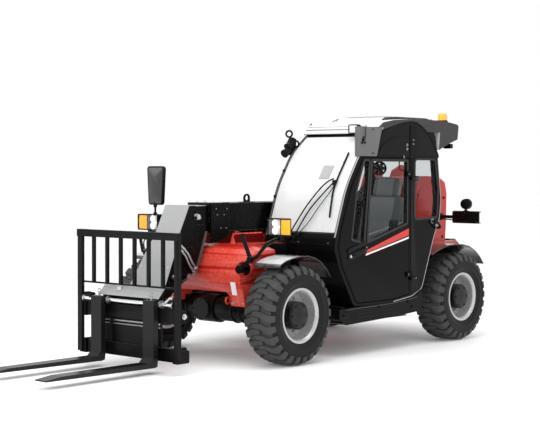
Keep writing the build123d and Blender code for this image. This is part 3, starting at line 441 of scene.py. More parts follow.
# fender faces behind the front axle take the darker copy of the same plastic: painted shade
second_finish("fenders", "fender_dark", lambda c, n: c.x < AX - 0.06)
second_finish("front_chassis", "black_satin", lambda c, n: abs(n.y) > 0.9 and 0.32 < abs(c.y) < 0.40 and c.x < AX - 0.06)

# ------------------------------------------------------------------ tyres with block lugs
CROWN = [(-0.1525, 0.300), (-0.151, 0.330), (-0.146, 0.352), (-0.137, 0.374), (-0.122, 0.389), (-0.095, 0.3965),
         (-0.05, 0.399), (0.0, 0.3998), (0.05, 0.399), (0.095, 0.3965), (0.122, 0.389), (0.137, 0.374),
         (0.146, 0.352), (0.151, 0.330), (0.1525, 0.300)]


def crown_at(s):
    """Point and outward normal on the tread surface, s metres from the middle along it."""
    pts = [Vector(p) for p in CROWN]
    mid = len(pts) // 2
    step = 1 if s >= 0 else -1
    left = abs(s); i = mid
    while 0 <= i + step < len(pts):
        d = (pts[i + step] - pts[i]).length
        if left <= d:
            break
        left -= d; i += step
    j = max(0, min(len(pts) - 1, i + step))
    seg = (pts[j] - pts[i])
    t = seg.normalized() if seg.length else Vector((step, 0))
    p = pts[i] + t * left
    n = Vector((-t.y, t.x)) * step
    if n.y < 0 and abs(t.x) > 0.2: n = -n
    return p, n


def tyre_mesh(corner, x, side):
    bm = bmesh.new()
    centre = Vector((x + AX, side * 0.7525, 0.400))
    deep = 0.021
    # carcass: bead, sidewall with rings, shoulder, tread floor
    half = [(0.112, 0.2035), (0.1255, 0.2235), (0.134, 0.2265), (0.137, 0.232), (0.1375, 0.242), (0.144, 0.256),
            (0.1475, 0.268), (0.1495, 0.2705), (0.1498, 0.2755), (0.1488, 0.2775), (0.1495, 0.300), (0.1493, 0.312),
            (0.1515, 0.3145), (0.1515, 0.3195), (0.149, 0.322), (0.146, 0.333), (0.139, 0.345), (0.127, 0.358),
            (0.110, 0.3685), (0.085, 0.375), (0.045, 0.3785), (0.0, 0.379)]
    section = half + [(-a, b) for a, b in reversed(half[:-1])]
    rings = add_lathe(bm, section, centre, n=128)
    for i in range(128):
        bm.faces.new((rings[-1][i], rings[-1][(i + 1) % 128], rings[0][(i + 1) % 128], rings[0][i]))
    wall = [f for f in bm.faces]
    # carcass faces out near the tread take the lighter rubber, a painted highlight; faces further in take the darker
    # sidewall rubber
    for f in wall:
        c = f.calc_center_median() - centre
        f.material_index = 1 if math.hypot(c.x, c.z) < 0.36 else 0
    # lugs: along s (across the tread) and u (round it); outer shoulder to past the middle, with two kinks
    lug = [(0.192, 0.000, 0.027), (0.160, 0.000, 0.030), (0.128, 0.000, 0.031), (0.098, 0.004, 0.029),
           (0.070, 0.018, 0.025), (0.045, 0.030, 0.023), (0.018, 0.034, 0.023), (-0.020, 0.034, 0.021), (-0.034, 0.034, 0.018)]
    count = 26
    for hand in (1, -1):
        for k in range(count):
            a0 = 2 * pi * (k + (0.5 if hand < 0 else 0)) / count
            cols = []
            for s, u, w in lug:
                p, n = crown_at(s * hand)
                col = []
                for du, h in ((-w - 0.004, deep + 0.003), (-w + 0.001, 0.003), (-w + 0.005, 0.0), (w - 0.005, 0.0), (w - 0.001, 0.003), (w + 0.004, deep + 0.003)):
                    q = p - n * h
                    ang = a0 + (u + du) / 0.39 * (1 if side > 0 else -1)
                    col.append(bm.verts.new(centre + Vector((q.y * cos(ang), q.x, q.y * sin(ang)))))
                cols.append(col)
            for a, b in zip(cols, cols[1:]):
                for i in range(5):
                    bm.faces.new((a[i], a[i + 1], b[i + 1], b[i]))
                bm.faces.new((a[5], a[0], b[0], b[5]))
            bm.faces.new(cols[0]); bm.faces.new(list(reversed(cols[-1])))
    o = finish_mesh("tyre_shape_" + corner, bm, ["tyre", "sidewall"], "wheel_" + corner, bevel=0, angle=28)
    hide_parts("tyre_" + corner)
    return o


for c, (x, side) in CORNERS.items():
    tyre_mesh(c, x, side)
    # wheel studs, hub cap ring and its bolts
    bm = bmesh.new()
    for k in range(8):
        a = 2 * pi * (k + 0.5) / 8
        base = Vector((x + AX + 0.1375 * cos(a), side * 0.756, 0.4 + 0.1375 * sin(a)))
        add_cyl(bm, base, base + Vector((0, side * 0.016, 0)), 0.0155, 6)
        add_cyl(bm, base + Vector((0, side * 0.016, 0)), base + Vector((0, side * 0.028, 0)), 0.008, 12)
    finish_mesh("wheel_nuts_" + c, bm, "zinc", "wheel_" + c, 0.001)
    bm = bmesh.new()
    cen = Vector((x + AX, 0, 0.4))
    add_lathe(bm, [(0.7562, 0.104), (0.775, 0.1125), (0.862, 0.1125), (0.872, 0.103), (0.8745, 0.085), (0.8745, 0.0)], cen, n=48, side=side)
    finish_mesh("hub_cap_" + c, bm, "cast_iron", "wheel_" + c, 0.0, angle=25)
    bm = bmesh.new()
    for k in range(6):
        a = 2 * pi * k / 6
        base = Vector((x + AX + 0.088 * cos(a), side * 0.8745, 0.4 + 0.088 * sin(a)))
        add_cyl(bm, base, base + Vector((0, side * 0.006, 0)), 0.008, 6)
    finish_mesh("hub_bolts_" + c, bm, "black_satin", "wheel_" + c, 0.0008)

# ------------------------------------------------------------------ outline helpers for the details
def box(bm, x0, x1, y0, y1, z0, z1):
    grid_box(bm, min(x0, x1) + AX, max(x0, x1) + AX, min(y0, y1), max(y0, y1), z0, z1)


def rounded(pts, r, n=5):
    """Outline with its corners rounded."""
    out = []
    k = len(pts)
    for i in range(k):
        a, b, c = Vector(pts[i - 1]), Vector(pts[i]), Vector(pts[(i + 1) % k])
        u, v = (a - b), (c - b)
        lim = min(u.length, v.length) * 0.45
        u.normalize(); v.normalize()
        half = u.angle(v) / 2
        t = min(r / math.tan(half), lim)
        rr = t * math.tan(half)
        centre = b + (u + v).normalized() * (rr / sin(half))
        s0 = b + u * t - centre; s1 = b + v * t - centre
        ang = s0.angle(s1)
        for j in range(n + 1):
            w = j / n
            if ang < 1e-4:
                q = s0
            else:
                q = (s0 * sin((1 - w) * ang) + s1 * sin(w * ang)) / sin(ang)
            out.append(tuple(centre + q))
    return out


def inset(pts, d):
    """Outline moved inwards by d (outwards when negative)."""
    k = len(pts)
    area2 = sum(pts[i][0] * pts[(i + 1) % k][1] - pts[(i + 1) % k][0] * pts[i][1] for i in range(k))
    sign = 1 if area2 > 0 else -1
    out = []
    for i in range(k):
        a, b, c = Vector(pts[i - 1]), Vector(pts[i]), Vector(pts[(i + 1) % k])
        e1 = (b - a).normalized(); e2 = (c - b).normalized()
        n1 = Vector((-e1.y, e1.x)) * sign; n2 = Vector((-e2.y, e2.x)) * sign
        m = n1 + n2
        if m.length < 1e-6:
            m = n1
        m.normalize()
        out.append(tuple(b + m * (d / max(0.35, m.dot(n1)))))
    return out


def add_ring(bm, outer, inner, t0, t1, axis="y"):
    """Flat frame between two outlines with the same number of points."""
    def at(p, t):
        if axis == "y": return (p[0] + AX, t, p[1])
        if axis == "x": return (t + AX, p[0], p[1])
        return (p[0] + AX, p[1], t)
    k = len(outer)
    g = [[bm.verts.new(at(p, t)) for p in ln] for ln, t in ((outer, t0), (outer, t1), (inner, t1), (inner, t0))]
    for a, b in zip(g, g[1:] + g[:1]):
        for i in range(k):
            bm.faces.new((a[i], a[(i + 1) % k], b[(i + 1) % k], b[i]))


def rect(u0, u1, v0, v1, r=0.0, n=4):
    pts = [(u0, v0), (u1, v0), (u1, v1), (u0, v1)]
    return rounded(pts, r, n) if r else pts


def add_torus(bm, centre, normal, big, small, n=56, m=10):
    c = Vector(centre); d = Vector(normal).normalized()
    u = d.orthogonal().normalized(); w = d.cross(u)
    rings = []
    for i in range(n):
        a = 2 * pi * i / n
        r = u * cos(a) + w * sin(a)
        rings.append([bm.verts.new(c + r * (big + small * cos(2 * pi * k / m)) + d * (small * sin(2 * pi * k / m))) for k in range(m)])
    for i in range(n):
        a, b = rings[i], rings[(i + 1) % n]
        for k in range(m):
            bm.faces.new((a[k], b[k], b[(k + 1) % m], a[(k + 1) % m]))


def bolts(name, spots, mat="zinc", body="machine", r=0.009, h=0.007, washer=True):
    """spots: (x, y, z, axis)"""
    bm = bmesh.new()
    for x, y, z, axis in spots:
        add_bolt(bm, P(x, y, z), axis, r, h, washer)
    return finish_mesh(name, bm, mat, body, 0.0006, angle=30)


def hose(name, pts, r=0.011, mat="hose", body="machine", ends=True):
    o = pipe(name, [P(*p) for p in pts], r, mat, body)
    if ends:
        bm = bmesh.new()
        for a, b in ((pts[0], pts[1]), (pts[-1], pts[-2])):
            p = P(*a); d = (P(*b) - p).normalized()
            add_cyl(bm, p - d * 0.004, p + d * 0.020, r * 1.55, 6)
            add_cyl(bm, p + d * 0.020, p + d * 0.048, r * 1.28, 18)
        finish_mesh(name + "_fittings", bm, "zinc", body, 0.0006)
    return o


YP, YN = (0, 1, 0), (0, -1, 0)
XP, XN, ZP, ZN = (1, 0, 0), (-1, 0, 0), (0, 0, 1), (0, 0, -1)

# ------------------------------------------------------------------ front lamps: housing, clear inner half, amber outer half
def lamp_unit(side, tag):
    inner, mid, outer = side * 0.635, side * 0.768, side * 0.885
    y0, y1 = sorted((inner, outer))
    z0, z1, xb, xf = 1.035, 1.175, 0.042, 0.122
    bm = bmesh.new()
    shell = rect(y0, y1, z0, z1, 0.014)
    add_prism(bm, inset(shell, 0.004), xb, xb + 0.006, "x")
    add_ring(bm, shell, inset(shell, 0.0095), xb + 0.004, xf, "x")
    m0, m1 = sorted((mid - side * 0.003, mid + side * 0.003))
    box(bm, xb + 0.01, xf - 0.004, m0, m1, z0 + 0.006, z1 - 0.006)
    # the housing draws in towards its back on the outer side
    for v in bm.verts:
        if side * (v.co.y - mid) > 0:
            v.co.y = mid + (v.co.y - mid) * (1 - 0.60 * (xf + AX - v.co.x) / (xf - xb))
    finish_mesh("lamp_housing_" + tag, bm, "black_plastic", "machine", 0.002)
    # reflector tub and bulbs behind the clear half
    a, b = sorted((inner + side * 0.010, mid - side * 0.004))
    bm = bmesh.new()
    add_prism(bm, rect(a, b, z0 + 0.010, z1 - 0.010, 0.008), xb + 0.012, xb + 0.018, "x")
    for zc in (z0 + 0.040, z1 - 0.040):
        c = P(xb + 0.020, (a + b) / 2, zc)
        add_lathe(bm, [(0.0, 0.0), (0.004, 0.010), (0.014, 0.019), (0.030, 0.0275), (0.050, 0.0285), (0.050, 0.0305), (0.0, 0.0305)], c, "x", 28)
    finish_mesh("lamp_reflector_" + tag, bm, "lamp_white", "machine", 0.0)
    bm = bmesh.new()
    for zc in (z0 + 0.040, z1 - 0.040):
        c = P(xb + 0.028, (a + b) / 2, zc)
        add_lathe(bm, [(0.0, 0.006), (0.012, 0.007), (0.020, 0.0055), (0.024, 0.0)], c, "x", 14)
    finish_mesh("lamp_bulb_" + tag, bm, "lamp_white", "machine", 0.0)
    # ribbed clear lens
    bm = bmesh.new()
    lens_pane(bm, a, b, z0 + 0.0095, z1 - 0.0095, xf - 0.006, xf - 0.001, 13)
    finish_mesh("lamp_lens_" + tag, bm, "lamp_clear", "machine", 0.0)
    a, b = sorted((mid + side * 0.004, outer - side * 0.010))
    bm = bmesh.new()
    lens_pane(bm, a, b, z0 + 0.0095, z1 - 0.0095, xf - 0.012, xf - 0.0005, 15)
    finish_mesh("lamp_amber_" + tag, bm, "amber_lens", "machine", 0.0)
    bolts("lamp_screws_" + tag, [(xf - 0.0005, y0 + 0.006, zz, XP) for zz in (z0 + 0.012, z1 - 0.012)] +
          [(xf - 0.0005, y1 - 0.006, zz, XP) for zz in (z0 + 0.012, z1 - 0.012)], r=0.0028, h=0.002, washer=False)


def lens_pane(bm, y0, y1, z0, z1, xb, xf, ribs):
    """Slightly domed pane with vertical flutes."""
    nu, nv = ribs * 4, 10
    front = []
    for i in range(nu + 1):
        col = []
        u = i / nu
        for k in range(nv + 1):
            v = k / nv
            dome = (1 - (2 * u - 1) ** 4) * (1 - (2 * v - 1) ** 4)
            x = xb + (xf - xb) * (0.45 + 0.45 * dome) - 0.0009 * (0.5 + 0.5 * cos(2 * pi * u * ribs))
            col.append(bm.verts.new(P(x, y0 + (y1 - y0) * u, z0 + (z1 - z0) * v)))
        front.append(col)
    for i in range(nu):
        for k in range(nv):
            bm.faces.new((front[i][k], front[i + 1][k], front[i + 1][k + 1], front[i][k + 1]))
    rim = [front[i][0] for i in range(nu + 1)] + [front[nu][k] for k in range(1, nv + 1)] + \
          [front[i][nv] for i in range(nu - 1, -1, -1)] + [front[0][k] for k in range(nv - 1, 0, -1)]
    back = [bm.verts.new((xb + AX, v.co.y, v.co.z)) for v in rim]
    n = len(rim)
    for i in range(n):
        bm.faces.new((rim[i], back[i], back[(i + 1) % n], rim[(i + 1) % n]))
    bm.faces.new(back)


lamp_unit(1, "left"); lamp_unit(-1, "right")
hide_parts("front_lamps")
for side, tag in ((1, "left"), (-1, "right")):
    bolts("lamp_clamp_bolts_" + tag, [(0.298, side * 0.475, 0.764, XP), (0.283, side * 0.618, 0.850, (0, side, 0.3)),
                                      (0.095, side * 0.735, 1.000, ZN)], "black_satin", r=0.011, h=0.010)
    bm = bmesh.new()
    # clamp collars, socket in the pocket and its ring
    add_cyl(bm, P(0.283, side * 0.588, 0.8418), P(0.283, side * 0.612, 0.8582), 0.029, 28)
    add_cyl(bm, P(0.262, side * 0.600, 0.850), P(0.304, side * 0.600, 0.850), 0.024, 28)
    add_cyl(bm, P(0.283, side * 0.509, 1.033), P(0.283, side * 0.503, 1.046), 0.020, 24)
    add_lathe(bm, [(0.0, 0.0), (0.0, 0.026), (0.012, 0.034), (0.030, 0.034), (0.034, 0.030), (0.034, 0.0)], P(0.262, side * 0.475, 0.764), "x", 32)
    add_cyl(bm, P(0.176, side * 0.475, 0.764), P(0.182, side * 0.475, 0.764), 0.052, 40)
    finish_mesh("lamp_arm_clamps_" + tag, bm, "black_satin", "machine", 0.0015)
    bm = bmesh.new()
    add_lathe(bm, [(0.172, 0.0595), (0.2065, 0.0595), (0.2075, 0.0570), (0.2065, 0.0545), (0.172, 0.0545)], P(0.0, side * 0.475, 0.764), "x", 48)
    finish_mesh("boss_ring_" + tag, bm, "red_paint", "machine", 0.0)
    hose("lamp_cable_" + tag, [(0.07, side * 0.72, 1.036), (0.05, side * 0.72, 1.00), (0.12, side * 0.70, 0.985), (0.215, side * 0.715, 0.962),
                               (0.262, side * 0.645, 0.862), (0.262, side * 0.56, 0.838), (0.245, side * 0.50, 0.79)], 0.0055, ends=False)

# ------------------------------------------------------------------ mirror on the machine's right lamp
bm = bmesh.new()
y0, y1, z0, z1 = -0.785, -0.578, 1.255, 1.590
# a little narrower below than above
shell = [(y + 0.10 * (z1 - z) / (z1 - z0) * (y0 + y1 - 2 * y) / 1.0, z) for y, z in rect(y0, y1, z0, z1, 0.030, 6)]
k = len(shell)
front = [bm.verts.new((0.100 + AX, p[0], p[1])) for p in shell]
back = [bm.verts.new((0.074 + AX, p[0], p[1])) for p in shell]
for i in range(k):
    bm.faces.new((front[i], front[(i + 1) % k], back[(i + 1) % k], back[i]))
bm.faces.new(back)
ridge = [bm.verts.new((0.126 + AX, (y0 + y1) / 2 + 0.01, z)) for z in (z0 + 0.10, z1 - 0.10)]
for i in range(k):
    a, b = front[i], front[(i + 1) % k]
    za, zb = a.co.z, b.co.z
    top = lambda v: 1 if v.co.z > (z0 + z1) / 2 else 0
    if top(a) == top(b):
        bm.faces.new((a, b, ridge[top(a)]))
    else:
        bm.faces.new((a, b, ridge[top(b)], ridge[top(a)]))
finish_mesh("mirror_shell", bm, "mirror_black", "machine", 0.0, angle=5)
bm = bmesh.new()
add_ring(bm, shell, inset(shell, 0.014), 0.072, 0.104, "x")
finish_mesh("mirror_frame", bm, "black_plastic", "machine", 0.002)
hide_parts("mirror")
bm = bmesh.new(); add_prism(bm, inset(shell, 0.010), 0.0715, 0.0745, "x")
finish_mesh("mirror_glass", bm, "reflector", "machine", 0.0)
bm = bmesh.new(); add_cyl(bm, P(0.095, -0.690, 1.235), P(0.095, -0.690, 1.275), 0.016, 20)
add_cyl(bm, P(0.095, -0.690, 1.175), P(0.095, -0.690, 1.190), 0.017, 20)
finish_mesh("mirror_joint", bm, "black_plastic", "machine", 0.002)

# ------------------------------------------------------------------ beacon, rear and work lamps
bm = bmesh.new()
add_lathe(bm, [(2.0045, 0.0), (2.0045, 0.050), (2.012, 0.050), (2.016, 0.046), (2.020, 0.046), (2.020, 0.0)], P(-2.155, 0.750, 0), "z", 40)
finish_mesh("beacon_base", bm, "black_plastic", "machine", 0.0)
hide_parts("beacon")
bm = bmesh.new()
add_lathe(bm, [(2.020, 0.0), (2.020, 0.0425), (2.030, 0.0435), (2.034, 0.0425), (2.038, 0.0435), (2.042, 0.0425), (2.046, 0.0435),
               (2.050, 0.0425), (2.054, 0.0432), (2.058, 0.0420), (2.070, 0.0410), (2.079, 0.0375), (2.084, 0.030), (2.0848, 0.0)], P(-2.155, 0.750, 0), "z", 48)
finish_mesh("beacon_dome", bm, "amber_lens", "machine", 0.0, angle=50)
for side, tag in ((1, "left"), (-1, "right")):
    y0, y1 = sorted((side * 0.601, side * 0.896))
    shell = rect(y0, y1, 1.065, 1.180, 0.012)
    bm = bmesh.new()
    add_prism(bm, shell, -2.588, -2.546, "x")
    add_cyl(bm, P(-2.574, side * 0.735, 1.178), P(-2.574, side * 0.735, 1.206), 0.013, 16)
    box(bm, -2.586, -2.562, side * 0.735 - 0.028, side * 0.735 + 0.028, 1.1795, 1.184)
    finish_mesh("tail_lamp_body_" + tag, bm, "black_plastic", "machine", 0.004)
    cuts = [(0.006, 0.100, "red_lens"), (0.104, 0.190, "amber_lens"), (0.194, 0.289, "red_lens")]
    for n_, (a, b, mt) in enumerate(cuts):
        bm = bmesh.new()
        lo, hi = sorted((side * (0.601 + a), side * (0.601 + b)))
        add_prism(bm, rect(lo, hi, 1.072, 1.173, 0.006), -2.601, -2.587, "x")
        for q in range(6):
            zz = 1.080 + q * 0.0165
            box(bm, -2.6025, -2.600, lo + 0.006, hi - 0.006, zz, zz + 0.008)
        finish_mesh("tail_lens_%s_%d" % (tag, n_), bm, mt, "machine", 0.001)
    bm = bmesh.new()
    add_prism(bm, rect(*sorted((side * 0.893, side * 0.898)), 1.074, 1.170, 0.002), -2.600, -2.560, "x")
    finish_mesh("tail_lamp_edge_" + tag, bm, "white_label", "machine", 0.001)
    bolts("tail_lamp_screws_" + tag, [(-2.546, side * (0.601 + a), zz, XP) for a in (0.02, 0.1475, 0.275) for zz in (1.078, 1.166)], r=0.004, h=0.003, washer=False)
    # round working lamp above: finned back, rim and lens
    bm = bmesh.new()
    cen = P(0.0, side * 0.735, 1.246)
    add_lathe(bm, [(-2.540, 0.0), (-2.539, 0.030), (-2.545, 0.034), (-2.550, 0.034), (-2.551, 0.046), (-2.555, 0.046), (-2.556, 0.036),
                   (-2.562, 0.036), (-2.563, 0.048), (-2.567, 0.048), (-2.568, 0.038), (-2.574, 0.038), (-2.575, 0.050), (-2.606, 0.050),
                   (-2.609, 0.047), (-2.600, 0.043), (-2.598, 0.0)], cen, "x", 44)
    box(bm, -2.584, -2.564, side * 0.735 - 0.012, side * 0.735 + 0.012, 1.196, 1.204)
    finish_mesh("rear_round_lamp_" + tag, bm, "black_plastic", "machine", 0.0)
    bm = bmesh.new()
    add_lathe(bm, [(-2.5985, 0.0), (-2.6045, 0.028), (-2.602, 0.0425), (-2.598, 0.0425)], cen, "x", 40)
    finish_mesh("rear_round_lens_" + tag, bm, "lamp_clear", "machine", 0.0)
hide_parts("tail_lamps")
# front work lamp at the roof's corner, and the one under the rear visor
bm = bmesh.new()
shell = rect(0.612, 0.712, 1.872, 1.952, 0.014)
add_ring(bm, shell, inset(shell, 0.0075), -0.985, -0.938, "x")
add_prism(bm, inset(shell, 0.004), -0.995, -0.984, "x")
box(bm, -0.992, -0.962, 0.650, 0.674, 1.858, 1.873)
add_prism(bm, [(-0.995, 1.853), (-0.955, 1.853), (-0.955, 1.859), (-0.995, 1.859)], 0.640, 0.684)
finish_mesh("work_lamp_front", bm, "black_plastic", "machine", 0.002)
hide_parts("work_lamps")
bm = bmesh.new(); lens_pane(bm, 0.6185, 0.7055, 1.8785, 1.9455, -0.950, -0.939, 8)
finish_mesh("work_lamp_front_lens", bm, "white_label", "machine", 0.0)
bolts("work_lamp_bolts", [(-0.975, 0.662, 1.853, ZN)], "black_satin", r=0.008, h=0.008)
bm = bmesh.new()
shell = rect(0.740, 0.820, 1.762, 1.806, 0.010)
add_prism(bm, shell, -2.226, -2.184, "x")
box(bm, -2.215, -2.195, 0.772, 0.788, 1.800, 1.846)
box(bm, -2.230, -2.180, 0.762, 0.798, 1.826, 1.832)
finish_mesh("work_lamp_rear", bm, "black_plastic", "machine", 0.002)
bm = bmesh.new(); add_prism(bm, inset(shell, 0.006), -2.2315, -2.225, "x")
finish_mesh("work_lamp_rear_lens", bm, "lamp_clear", "machine", 0.001)

# ------------------------------------------------------------------ boom head
bolts("head_cover_bolts", [(0.4145, BY + dy, 1.245, (0.897, 0, 0.441)) for dy in (-0.112, -0.045, 0.045, 0.112)] +
      [(0.664, BY + dy, 0.775, (0.875, 0, 0.484)) for dy in (-0.155, 0.155)] + [(0.742, BY + dy, 0.634, (0.875, 0, 0.484)) for dy in (-0.17, 0.17)],
      "bright_steel", "extension", r=0.006, h=0.004)
# folded line of the cover
bm = bmesh.new()
for w, (x, z) in ((0.134, (0.5585, 0.9665)),):
    add_cyl(bm, P(x, BY - w - 0.012, z), P(x, BY + w + 0.012, z), 0.0035, 12)
finish_mesh("head_cover_fold", bm, "grey_paint", "extension", 0.0)
for s_ in (1, -1):
    tag = "left" if s_ > 0 else "right"
    yo = BY + s_ * 0.137
    pinsx = [(0.340, 1.165, 0.016), (0.282, 1.180, 0.010), (0.330, 1.215, 0.008), (0.380, 0.900, 0.030), (0.860, 0.265, 0.040), (0.640, 0.640, 0.012)]
    bm = bmesh.new()
    for x, z, r in pinsx:
        p = P(x, yo, z)
        add_cyl(bm, p, p + Vector((0, s_ * 0.004, 0)), r * 1.5, 28)
        add_cyl(bm, p + Vector((0, s_ * 0.004, 0)), p + Vector((0, s_ * 0.012, 0)), r, 6 if r < 0.02 else 28)
        add_cyl(bm, p + Vector((0, s_ * 0.012, 0)), p + Vector((0, s_ * 0.015, 0)), r * 0.35, 12)
    finish_mesh("head_pins_" + tag, bm, "black_satin", "extension", 0.001)
    # bright boss with a bracket at the tube's mouth
    b_ = bmesh.new()
    p = P(0.300, yo, 1.172)
    add_cyl(b_, p, p + Vector((0, s_ * 0.010, 0)), 0.021, 32)
    add_cyl(b_, p + Vector((0, s_ * 0.010, 0)), p + Vector((0, s_ * 0.014, 0)), 0.013, 6)
    finish_mesh("head_boss_" + tag, b_, "bright_steel", "extension", 0.001)
    b_ = bmesh.new()
    add_prism(b_, rounded([(0.305, 1.150), (0.352, 1.150), (0.352, 1.196), (0.322, 1.205), (0.305, 1.196)], 0.008), *sorted((yo, yo + s_ * 0.006)))
    finish_mesh("head_boss_bracket_" + tag, b_, "zinc", "extension", 0.001)
    # keeper plate of the tilt pin and slot cover
    bm = bmesh.new()
    add_prism(bm, rounded([(0.290, 1.018), (0.345, 1.018), (0.345, 1.046), (0.290, 1.046)], 0.012), *sorted((yo, yo + s_ * 0.004)))
    add_prism(bm, rounded([(0.398, 0.872), (0.436, 0.872), (0.436, 0.928), (0.398, 0.928)], 0.005), *sorted((yo, yo + s_ * 0.006)))
    finish_mesh("head_keepers_" + tag, bm, "black_satin", "extension", 0.001)
# light grey stiffener down the back of the head
bm = bmesh.new()
add_prism(bm, [(0.1950, 1.049), (0.2175, 1.056), (0.3330, 0.746), (0.3110, 0.738)], BY - 0.139, BY + 0.139)
finish_mesh("head_back_strip", bm, "edge_grey", "extension", 0.0015)
# bright wear strip and adjusters on the inner tube
bm = bmesh.new()
box(bm, 0.158, 0.330, BY - 0.100, BY + 0.100, 1.2595, 1.2655)
finish_mesh("inner_tube_face", bm, ["bright_steel"], "extension", 0.001)
bm = bmesh.new()
box(bm, 0.150, 0.162, BY - 0.122, BY + 0.122, 1.262, 1.284)
for s_ in (1, -1):
    for dz in (1.12, 1.20):
        box(bm, 0.150, 0.160, BY + s_ * 0.108, BY + s_ * 0.122, dz, dz + 0.05)
finish_mesh("wear_pads", bm, "black_plastic", "boom", 0.0015)
hose("head_hose_a", [(0.545, 0.052, 0.925), (0.50, 0.082, 0.88), (0.455, 0.080, 0.80), (0.400, 0.072, 0.742), (0.345, 0.050, 0.722)], 0.0095, "braid", "extension")
hose("head_hose_b", [(0.520, 0.050, 0.945), (0.475, 0.086, 0.895), (0.430, 0.086, 0.82), (0.375, 0.074, 0.765), (0.336, 0.050, 0.752)], 0.0095, "braid", "extension")
hose("head_hose_c", [(0.600, 0.050, 0.70), (0.590, 0.078, 0.66), (0.545, 0.080, 0.655), (0.470, 0.074, 0.672), (0.420, 0.050, 0.70)], 0.0085, "hose", "extension")
bm = bmesh.new()
for x, z in ((0.545, 0.925), (0.520, 0.945), (0.345, 0.722), (0.336, 0.752), (0.600, 0.70), (0.420, 0.70)):
    add_cyl(bm, P(x, 0.034, z), P(x, 0.056, z), 0.017, 6)
finish_mesh("head_bulkheads", bm, "zinc", "extension", 0.001)

# ------------------------------------------------------------------ outer boom: collar bolts, welds, pipes
y_l, y_r = BY + 0.139, BY - 0.139
spots = []
for x, z in ((0.084, 1.186), (0.003, 1.184), (0.042, 1.074), (-0.022, 1.073), (0.100, 1.235), (-0.030, 1.235)):
    spots += [(x, y_l, z, YP), (x, y_r, z, YN)]
bolts("collar_bolts", spots, "zinc", "boom", r=0.0065, h=0.006, washer=False)
bolts("collar_top_bolts", [(x, BY + dy, 1.286, ZP) for x in (0.09, -0.01) for dy in (-0.09, 0.0, 0.09)], "bright_steel", "boom", r=0.010, h=0.008)
bm = bmesh.new()
for s_ in (1, -1):
    yy = BY + s_ * 0.125
    add_cyl(bm, P(-2.28, yy, 1.0465), P(-0.07, yy, 1.0465), 0.0045, 8)
    add_cyl(bm, P(-2.05, yy, 1.2785), P(-0.07, yy, 1.2785), 0.0045, 8)
    # reinforcing side plate at the lift lug
    add_prism(bm, rounded([(-1.42, 1.056), (-0.78, 1.056), (-0.86, 1.135), (-1.34, 1.135)], 0.03), *sorted((yy, yy + s_ * 0.005)))
    # collar edge weld
    add_cyl(bm, P(-0.061, yy + s_ * 0.014, 1.015), P(-0.061, yy + s_ * 0.014, 1.284), 0.004, 8)
finish_mesh("boom_welds", bm, "black_paint", "boom", 0.0)
# two steel lines and their clips on the boom's right side
bm = bmesh.new()
for dz in (1.18, 1.21):
    add_cyl(bm, P(-2.15, BY - 0.139, dz), P(-0.15, BY - 0.139, dz), 0.008, 14)
finish_mesh("boom_lines", bm, "zinc", "boom", 0.0)
bm = bmesh.new()
for x in (-2.0, -1.55, -1.1, -0.65, -0.2):
    box(bm, x - 0.02, x + 0.02, BY - 0.151, BY - 0.125, 1.164, 1.226)
finish_mesh("boom_clips", bm, "black_plastic", "boom", 0.003)
# pivot caps and grease nipples
bm = bmesh.new()
for s_, yy in ((1, 0.080), (-1, -0.307)):
    p = P(-2.400, yy, 1.400)
    add_cyl(bm, p, p + Vector((0, s_ * 0.006, 0)), 0.046, 36)
    add_cyl(bm, p + Vector((0, s_ * 0.006, 0)), p + Vector((0, s_ * 0.014, 0)), 0.010, 6)
finish_mesh("pivot_caps", bm, "zinc", "boom", 0.0015)

# ------------------------------------------------------------------ cylinders: gland nuts, ports, eye bushes
def cylinder_trim(name, base, head, barrel_r, length, body_b, body_r):
    b = Vector((base[0] + AX, BY, base[1])); h = Vector((head[0] + AX, BY, head[1]))
    d = (h - b).normalized(); up_ = Vector((-d.z, 0, d.x))
    bm = bmesh.new()
    e = b + d * length
    add_cyl(bm, e - d * 0.055, e - d * 0.006, barrel_r + 0.007, 40)
    add_cyl(bm, e - d * 0.004, e + d * 0.006, barrel_r * 0.86, 40)
    add_cyl(bm, b + d * 0.056, b + d * 0.075, barrel_r + 0.004, 40)
    for t in (0.10, length - 0.085):
        q = b + d * t + up_ * (barrel_r - 0.004)
        add_cyl(bm, q, q + up_ * 0.016, 0.014, 20)
        add_cyl(bm, q + up_ * 0.016, q + up_ * 0.026, 0.011, 6)
    finish_mesh(name + "_gland", bm, "black_satin", body_b, 0.0012)
    bm = bmesh.new()
    q0, q1 = b + d * 0.10 + up_ * (barrel_r + 0.018), b + d * (length - 0.085) + up_ * (barrel_r + 0.018)
    side = Vector((0, 0.018, 0))
    add_cyl(bm, q0 + d * 0.01, q1 - d * 0.01, 0.006, 12)
    finish_mesh(name + "_line", bm, "zinc", body_b, 0.0)
    bm = bmesh.new()
    add_lathe(bm, [(-0.036, 0.0245), (-0.036, 0.031), (0.036, 0.031), (0.036, 0.0245)], h, "y", 32)
    finish_mesh(name + "_eye_bush", bm, "zinc", body_r, 0.0)


cylinder_trim("lift_cylinder", (-2.200, 0.650), (-1.100, 0.940), 0.052, 0.985, "lift_barrel_body", "lift_rod_body")
cylinder_trim("tilt_cylinder", (0.380, 0.900), (0.8392, 0.3832), 0.036, 0.500, "tilt_barrel_body", "tilt_rod_body")

